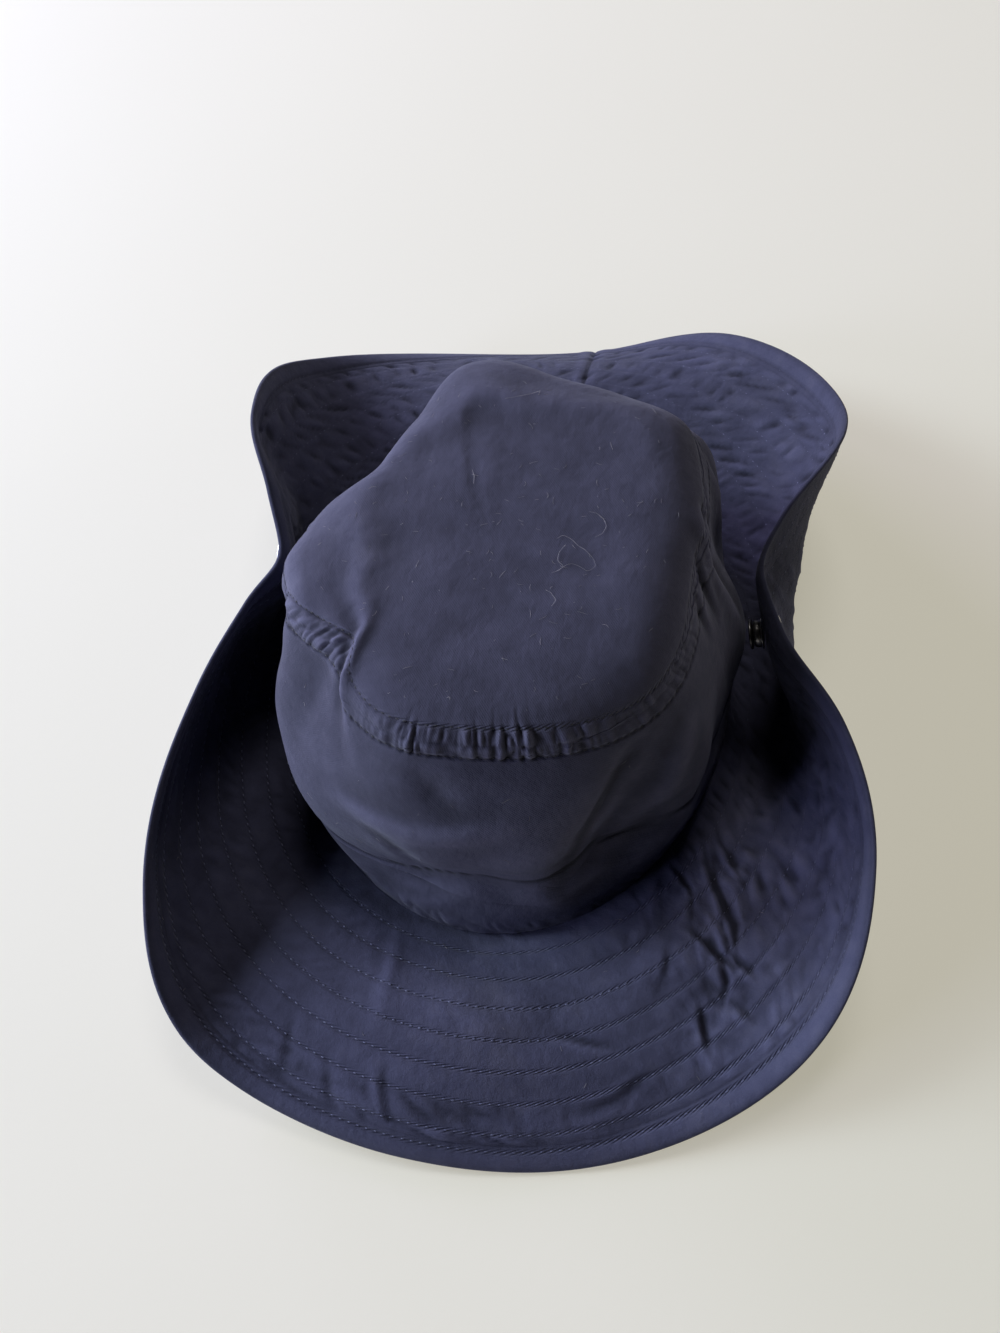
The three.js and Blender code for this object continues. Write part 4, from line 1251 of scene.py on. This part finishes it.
class SUNHAT_OT_crown(bpy.types.Operator):
    """Make the crown's side, base band and tip"""

    bl_idname = "sun_hat.crown"
    bl_label = "Crown"

    def execute(self, context):
        settings = hat_settings()
        angle = column_angles()
        seam_length = length_round(crown_points(np.array([1.0]), angle))
        gone = seam_length[:, :-1] / seam_length[:, -1:]
        shift = around(SEAM_TRIM, "shift", angle)
        cloth = cloth_material(
            "crown_cloth", tuple(settings.crown_colour), tuple(settings.worn_colour),
            (-TOPSTITCH, TOPSTITCH), settings.stitch_pitch / MM)
        # Crown's tone by direction: painted shade on its window-lit left side, partly fading
        fade_and_painted_light = painted_light_and_fade_by_direction(CROWN_FADE_AND_PAINTED_LIGHT, angle)

        # Side, from the base stitching to the tip seam, with close rings at both
        low = BAND_HEIGHT / CROWN_HEIGHT
        near_seam = 1 - np.append(np.arange(15.0, 0.1, -0.6), (JOINT_RING, 0.0)) / CROWN_HEIGHT
        near_base = low + np.append((0.0, JOINT_RING), np.arange(0.7, 24.6, 0.7)) / CROWN_HEIGHT
        height = np.concatenate([near_base, np.linspace(near_base[-1], near_seam[0], 20)[1:-1], near_seam])
        side = crown_points(height, angle)
        run = length_along(side)
        up = run - run[-1]
        relief = crown_relief(up, angle, gone) + base_relief(run, angle, gone)
        across = up - shift
        line = run - around(BASE_LINE, "up", angle)
        # Painted shade along the crease of the base stitching and along the lower topstitch row
        rise = rise_of(relief) - 0.8 * ridge(line, 0.8) - 0.35 * ridge(across + TOPSTITCH, 0.7)
        lengths = np.repeat(seam_length, len(height), 0)
        outer, normal = self.wall("crown_side", side, relief, 0.5, lengths, across, rise, cloth, fade_and_painted_light=fade_and_painted_light)
        MADE["side_face"] = Face(outer, normal, up)
        MADE["side_run"] = Face(outer, normal, run)

        # Base band, tucked in under the base stitching and down to the brim seam
        share = np.insert(np.linspace(0, 1, 24), 23, 0.997)
        band = crown_points(share * low, angle)
        run = length_along(band)
        below = run - run[-1]
        up_band = up[:1] + below
        relief = crown_relief(up_band, angle, gone) + base_relief(below, angle, gone)
        relief *= (1 - hump(share, 0.12))[:, None]
        lengths = np.repeat(seam_length, len(share), 0)
        self.wall("base_band", band, relief, 0.4, lengths, up_band, rise_of(relief), cloth, fade_and_painted_light=fade_and_painted_light)

        # Tip, from the tip seam to its middle, with close rings over its shoulder
        near = np.concatenate([(0.0, 0.02), np.linspace(0.0, 2.0, 16)[1:], np.linspace(2.0, 4.0, 32)[1:]])
        far = np.concatenate([np.linspace(4.0, 5.0, 16)[1:], np.linspace(5.0, 5.97, 10)[1:]])
        row = np.concatenate([near, far])
        tip = tip_points(row, angle)
        up = length_along(tip)
        relief = crown_relief(up, angle, gone) * (1 - hump(row - 6.0, 1.6))[:, None]
        relief += 0.5 * ripple(tip[..., 0] / 19.0 + 40, tip[..., 1] / 23.0 + 40, 27)
        lengths = seam_length * np.maximum(along(TIP_SECTIONS, "row", "reach", row)[:, None], 0.02)
        # The tip is made a little paler: partly fading, partly painted light
        outer, normal = self.wall(
            "crown_tip", tip, relief, 0.5, lengths, up - shift, rise_of(relief), cloth, closed=True, fade_and_painted_light=TIP_FADE_AND_PAINTED_LIGHT)
        MADE["tip_face"] = Face(outer, normal, up)
        return {"FINISHED"}

    def wall(self, node, middle, relief, inside, lengths, across, rise, cloth, closed=False, fade_and_painted_light=1.0):
        """Wall about its middle in place of a CAD node, with a share of the relief inside. It
        returns the outer face's points and normals."""
        normal = normals_of(middle)
        outer = middle + normal * (CROWN_WALL / 2 + relief)[..., None]
        inner = middle - normal * (CROWN_WALL / 2 - inside * relief)[..., None]
        kept = sparse(len(middle), HIDDEN_STEP)
        sides = (outer, lengths, across, rise), (inner[kept], lengths[kept], across[kept], rise[kept])
        peak = [outer[-1].mean(0), inner[-1].mean(0)] if closed else None
        piece = cloth_wall(node + "_cloth", *sides, cloth, peak=peak, flat_weave=closed, fade_and_painted_light=fade_and_painted_light)
        put_on_hat(piece, node)
        return outer, normal


class SUNHAT_OT_brim(bpy.types.Operator):
    """Make the brim with its stitched rows, hem and back seam"""

    bl_idname = "sun_hat.brim"
    bl_label = "Brim"

    def execute(self, context):
        settings = hat_settings()
        angle = column_angles()
        out = brim_levels()
        middle = brim_points(out, angle)
        lengths = length_round(middle)
        relief = brim_relief(out, angle, lengths)
        normal = normals_of(middle)
        under = middle + normal * (BRIM_WALL / 2 - 0.75 * relief)[..., None]
        upper = middle - normal * (BRIM_WALL / 2 + relief)[..., None]

        # The first ring reaches in under the crown, so that the seam shows no gap
        inward = -head_oval(angle)[2] * (SEAM_GAP + 0.5)
        under[0] += inward
        upper[0] += inward
        cloth = cloth_material(
            "brim_cloth", tuple(settings.brim_colour), tuple(settings.worn_colour),
            BRIM_ROWS + (HEM_ROW,), settings.stitch_pitch / MM)
        kept = sparse(len(out), HIDDEN_STEP)
        across = np.repeat(out[:, None], len(angle), 1)
        # Painted shade in the brim's hollows and painted highlight on its ridges
        rise = rise_of(relief)
        sides = (under[kept], lengths[kept], across[kept], -rise[kept]), (upper, lengths, across, rise)
        sewn = 1 - 0.8 * lobe_share(angle)
        # Brim's tone by direction: painted shade on its back lobes and front-left inside, painted light at its
        # front-right, partly fading
        piece = cloth_wall("brim_cloth", *sides, cloth, rim=3, sewn=sewn, fade_and_painted_light=painted_light_and_fade_by_direction(BRIM_FADE_AND_PAINTED_LIGHT, angle))
        MADE["upper_face"] = Face(upper, -normal, out)
        MADE["under_face"] = Face(under[kept], normal[kept], out[kept])
        put_on_hat(piece, "brim")
        return {"FINISHED"}


class SUNHAT_OT_stitching(bpy.types.Operator):
    """Sew the rows of stitches on the brim and the crown"""

    bl_idname = "sun_hat.stitching"
    bl_label = "Stitching"

    def execute(self, context):
        settings = hat_settings()
        pitch = settings.stitch_pitch / MM
        thread = thread_material("sewing_thread", tuple(settings.thread_colour))
        dark = thread_material("crown_thread", tuple(settings.crown_thread_colour))
        upper, under = MADE["upper_face"], MADE["under_face"]
        levels = BRIM_ROWS + (HEM_ROW,)
        rows = [upper.row(at, first, last, pitch, lift) for at in levels for first, last, lift in UPPER_ROW_PARTS]
        self.sew("brim_upper_stitches", rows, thread, "brim_cloth", 3)
        first, last, lift = UNDER_ROW_PART
        rows = [under.row(at, first, last, pitch, lift) for at in levels]
        self.sew("brim_under_stitches", rows, thread, "brim_cloth", 4)
        angle = column_angles()
        shift = around(SEAM_TRIM, "shift", angle)
        line = np.maximum(around(BASE_LINE, "up", angle), 0.3)
        rows = [MADE["side_run"].row(line, 0.0, 1.0, pitch * BASE_PITCH, 0.0)]
        for line in (shift - TOPSTITCH, shift + TOPSTITCH):
            rows += self.seam_rows(line, pitch * SEAM_PITCH)
        self.sew("crown_stitches", rows, dark, "crown_cloth", 5)
        return {"FINISHED"}

    def seam_rows(self, line, pitch):
        """Rows along the tip seam, on the tip where the line is above the seam and on the side
        where it is below"""
        count = len(line)
        starts = [0] + [k for k in range(1, count) if (line[k] > 0) != (line[k - 1] > 0)] + [count - 1]
        rows = []
        for begin, end in zip(starts[:-1], starts[1:]):
            if end - begin <= 8:
                continue
            on_tip = line[(begin + end) // 2] > 0
            face = MADE["tip_face" if on_tip else "side_face"]
            low, high = (0.05, 60.0) if on_tip else (-60.0, -0.05)
            breaks = [int(share * count) for share in SEAM_BREAKS]
            steps = [begin] + [k for k in breaks if begin < k < end] + [end]
            for first, last in zip(steps[:-1], steps[1:]):
                sunk = first >= int(SEAM_SUNK_AFTER * count) or last < int(SEAM_SUNK_BEFORE * count)
                lift = SEAM_SUNK if sunk else SEAM_LEVEL
                rows.append(face.row(np.clip(line, low, high), first / count, last / count, pitch, lift))
        return rows

    def sew(self, name, rows, thread, slot, seed):
        put_on_hat(stitched(name, rows, thread, seed))


class SUNHAT_OT_studs(bpy.types.Operator):
    """Make the press studs, with rolled rims and domed caps"""

    bl_idname = "sun_hat.studs"
    bl_label = "Press studs"

    def execute(self, context):
        # A darker copy of the stud metal on the studs and sockets: painted shade for pieces that sit in shadow, beside
        # the brighter rim and cap
        dark = stud_material("stud_metal_painted_shade", (0.12, 0.12, 0.12), (0.32, 0.31, 0.30))
        bright = stud_material("stud_metal", (0.55, 0.54, 0.52), (0.88, 0.87, 0.84))
        for side, middle, outward, seat in STUD_AXES:
            inner = -BRIM_WALL / 2 - seat
            socket = inner - SOCKET_THICKNESS
            for part, replaced, start, profile, metal in (
                    ("stud", True, socket - SEAM_GAP - STUD_FLANGE, STUD_PROFILE, dark),
                    ("socket", True, socket, SOCKET_PROFILE, dark),
                    ("rim", False, inner - RIM_SEAT, RIM_PROFILE, bright),
                    ("cap", True, BRIM_WALL / 2 + seat, CAP_PROFILE, bright)):
                name = f"{side}_{part}"
                self.turned(name + "_metal", name if replaced else None, middle, outward, start, profile, metal)
        return {"FINISHED"}

    def turned(self, name, node, middle, outward, start, profile, metal):
        """Piece turned on a stud's axis from a profile of radius and place outward"""
        count = STUD_SIDES
        turn = np.arange(count) * 2 * math.pi / count
        axis = np.array(outward) / np.linalg.norm(outward)
        aside = np.cross(axis, (0, 0, 1.0))
        aside /= np.linalg.norm(aside)
        other = np.cross(axis, aside)
        ring = aside * np.cos(turn)[:, None] + other * np.sin(turn)[:, None]
        points = [middle + axis * (start + h) + ring * r for r, h in profile[1:-1]]
        points.append(middle + axis * (start + np.array([[profile[0][1]], [profile[-1][1]]])))
        rows = len(profile) - 2
        faces = []
        for row in range(rows - 1):
            for k in range(count):
                n = (k + 1) % count
                faces.append((row * count + k, row * count + n, (row + 1) * count + n, (row + 1) * count + k))
        for k in range(count):
            n = (k + 1) % count
            faces.append((rows * count, n, k))
            faces.append((rows * count + 1, (rows - 1) * count + k, (rows - 1) * count + n))
        mesh = bpy.data.meshes.new(name)
        mesh.from_pydata(placed(np.concatenate(points)).tolist(), [], faces)
        put_on_hat(finished(name, mesh, metal), node)


class SUNHAT_OT_lint(bpy.types.Operator):
    """Scatter lint and a few curly fibres over the crown and the front of the brim"""

    bl_idname = "sun_hat.lint"
    bl_label = "Lint"

    def execute(self, context):
        chance = np.random.default_rng(61)
        fibre = fibre_material("lint_fibre", (0.42, 0.40, 0.42))
        direction = np.mod(column_angles(), 360.0)
        ahead = np.nonzero((direction > LINT_FRONT[0]) & (direction < LINT_FRONT[1]))[0]
        specks = []
        for name, first, last, front_only, number in LINT:
            face = MADE[name]
            for _ in range(number):
                i = chance.integers(first, min(last, len(face.points) - 2))
                j = chance.choice(ahead) if front_only else chance.integers(face.points.shape[1])
                specks.append(self.speck(face.points[i, j], face.normal[i, j], chance))
        self.lay("crown_lint", specks, LINT_RADIUS, fibre)
        cloth = MADE["tip_face"].points.reshape(-1, 3)
        self.lay("crown_hairs", [self.hair(np.array(hair, float), cloth) for hair in HAIRS], HAIR_RADIUS, fibre)
        return {"FINISHED"}

    def speck(self, point, normal, chance):
        """Short bent fibre lying on the cloth"""
        length = chance.uniform(0.35, 2.0) if chance.random() < 0.75 else chance.uniform(2.0, 3.4)
        way = np.cross(normal, chance.normal(size=3))
        way /= np.linalg.norm(way)
        across = np.cross(normal, way)
        share = np.linspace(-0.5, 0.5, 6)[:, None]
        bend = chance.normal() * 0.5 * length
        return point + normal * 0.12 + way * share * length + across * bend * (share ** 2 - 0.1)

    def hair(self, flat_path, cloth):
        """Long fibre through places on the tip, smoothed and laid on the cloth"""
        gone = np.arange(len(flat_path), dtype=float)
        fine = np.linspace(0, len(flat_path) - 1, 8 * len(flat_path))
        path = np.stack([np.interp(fine, gone, flat_path[:, k]) for k in (0, 1)], -1)
        for _ in range(10):
            path[1:-1] = (path[:-2] + 2 * path[1:-1] + path[2:]) / 4
        nearest = [np.argmin(((cloth[:, :2] - place) ** 2).sum(1)) for place in path]
        height = cloth[nearest, 2]
        height = np.convolve(np.pad(height, 4, mode="edge"), np.ones(9) / 9, mode="valid") + 0.3
        return np.concatenate([path, height[:, None]], 1)

    def lay(self, name, paths, radius, material):
        """Thin three-sided tubes along paths, as one piece"""
        points = []
        faces = []
        for path in paths:
            way = np.gradient(path, axis=0)
            way /= np.linalg.norm(way, axis=1, keepdims=True)
            aside = np.cross(way, (0.13, 0.21, 1.0))
            aside /= np.linalg.norm(aside, axis=1, keepdims=True)
            above = np.cross(way, aside)
            start = len(points)
            for k, place in enumerate(path):
                size = radius * (0.5 if k in (0, len(path) - 1) else 1.0)
                for turn in (0.0, 2.094, 4.189):
                    points.append(place + size * (aside[k] * math.cos(turn) + above[k] * math.sin(turn)))
            for k in range(len(path) - 1):
                for c in range(3):
                    a = start + 3 * k + c
                    b = start + 3 * k + (c + 1) % 3
                    faces.append((a, b, b + 3, a + 3))
            faces.append((start + 2, start + 1, start))
            end = start + 3 * (len(path) - 1)
            faces.append((end, end + 1, end + 2))
        mesh = bpy.data.meshes.new(name)
        mesh.from_pydata(placed(np.array(points)).tolist(), [], faces)
        put_on_hat(finished(name, mesh, material))


class SUNHAT_OT_stage(bpy.types.Operator):
    """Lay the floor and set the light and the camera"""

    bl_idname = "sun_hat.stage"
    bl_label = "Stage"

    def execute(self, context):
        settings = context.scene.sun_hat_stage
        bpy.ops.mesh.primitive_plane_add(size=24.0, location=(0, 0, 0))
        floor = context.active_object
        floor.name = "floor"
        floor.data.materials.append(floor_material("pale_floor", tuple(settings.floor_colour), settings.floor_glow))
        for name, at, above, size, share, colour in LIGHTS:
            self.light(name, at, above, size, settings.window_power * share, colour)
        world = bpy.data.worlds.new("room")
        context.scene.world = world
        world.use_nodes = True
        room = world.node_tree.nodes["Background"].inputs
        room["Color"].default_value = (0.9, 0.93, 1.0, 1.0)
        room["Strength"].default_value = settings.fill_strength
        context.scene.view_settings.view_transform = "Standard"
        self.camera(context)
        return {"FINISHED"}

    def light(self, name, at, above, size, power, colour):
        """Square light facing the hat, by direction and height in degrees"""
        at = math.radians(at)
        above = math.radians(above)
        way = Vector((math.cos(at) * math.cos(above), math.sin(at) * math.cos(above), math.sin(above)))
        place = Vector(LIGHTS_AIM) + way * LIGHT_DISTANCE
        data = bpy.data.lights.new(name, "AREA")
        data.shape = "SQUARE"
        data.size = size
        data.energy = power
        data.color = colour
        lamp = bpy.data.objects.new(name, data)
        lamp.location = place
        lamp.rotation_euler = (-way).to_track_quat("-Z", "Y").to_euler()
        bpy.context.scene.collection.objects.link(lamp)

    def camera(self, context):
        """Camera above the hat's front, looking down and back"""
        data = bpy.data.cameras.new("camera")
        data.sensor_fit = "HORIZONTAL"
        data.sensor_width = SENSOR_WIDTH
        data.lens = CAMERA_LENS
        data.clip_start = 0.02
        camera = bpy.data.objects.new("camera", data)
        down, yaw, roll = (math.radians(turn) for turn in (CAMERA_DOWN, CAMERA_YAW, CAMERA_ROLL))
        ahead = Vector((math.sin(yaw) * math.cos(down), math.cos(yaw) * math.cos(down), -math.sin(down)))
        level = ahead.cross(Vector((0, 0, 1))).normalized()
        above = level.cross(ahead)
        right = level * math.cos(roll) + above * math.sin(roll)
        above = above * math.cos(roll) - level * math.sin(roll)
        rows = [(right[k], above[k], -ahead[k], CAMERA_PLACE[k]) for k in range(3)]
        camera.matrix_world = Matrix((*rows, (0, 0, 0, 1)))
        context.scene.collection.objects.link(camera)
        context.scene.camera = camera


class SUNHAT_PT_panel(bpy.types.Panel):
    """Sun hat pieces and settings"""

    bl_label = "Sun Hat"
    bl_idname = "SUNHAT_PT_panel"
    bl_space_type = "VIEW_3D"
    bl_region_type = "UI"
    bl_category = "Sun Hat"

    def draw(self, context):
        for group in (context.scene.sun_hat, context.scene.sun_hat_stage):
            for name in group.__annotations__:
                self.layout.prop(group, name)
        for operator in OPERATORS:
            self.layout.operator(operator.bl_idname)


OPERATORS = (
    SUNHAT_OT_stage, SUNHAT_OT_crown, SUNHAT_OT_brim, SUNHAT_OT_stitching, SUNHAT_OT_studs, SUNHAT_OT_lint,
)
CLASSES = (HatSettings, StageSettings) + OPERATORS + (SUNHAT_PT_panel,)


def register():
    for each in CLASSES:
        bpy.utils.register_class(each)
    bpy.types.Scene.sun_hat = bpy.props.PointerProperty(type=HatSettings)
    bpy.types.Scene.sun_hat_stage = bpy.props.PointerProperty(type=StageSettings)


def unregister():
    del bpy.types.Scene.sun_hat
    del bpy.types.Scene.sun_hat_stage
    for each in reversed(CLASSES):
        bpy.utils.unregister_class(each)


def main():
    """Register the add-on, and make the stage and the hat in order"""
    register()
    bpy.ops.sun_hat.stage()
    bpy.ops.sun_hat.crown()
    bpy.ops.sun_hat.brim()
    bpy.ops.sun_hat.stitching()
    bpy.ops.sun_hat.studs()
    bpy.ops.sun_hat.lint()


if __name__ == "__main__":
    main()
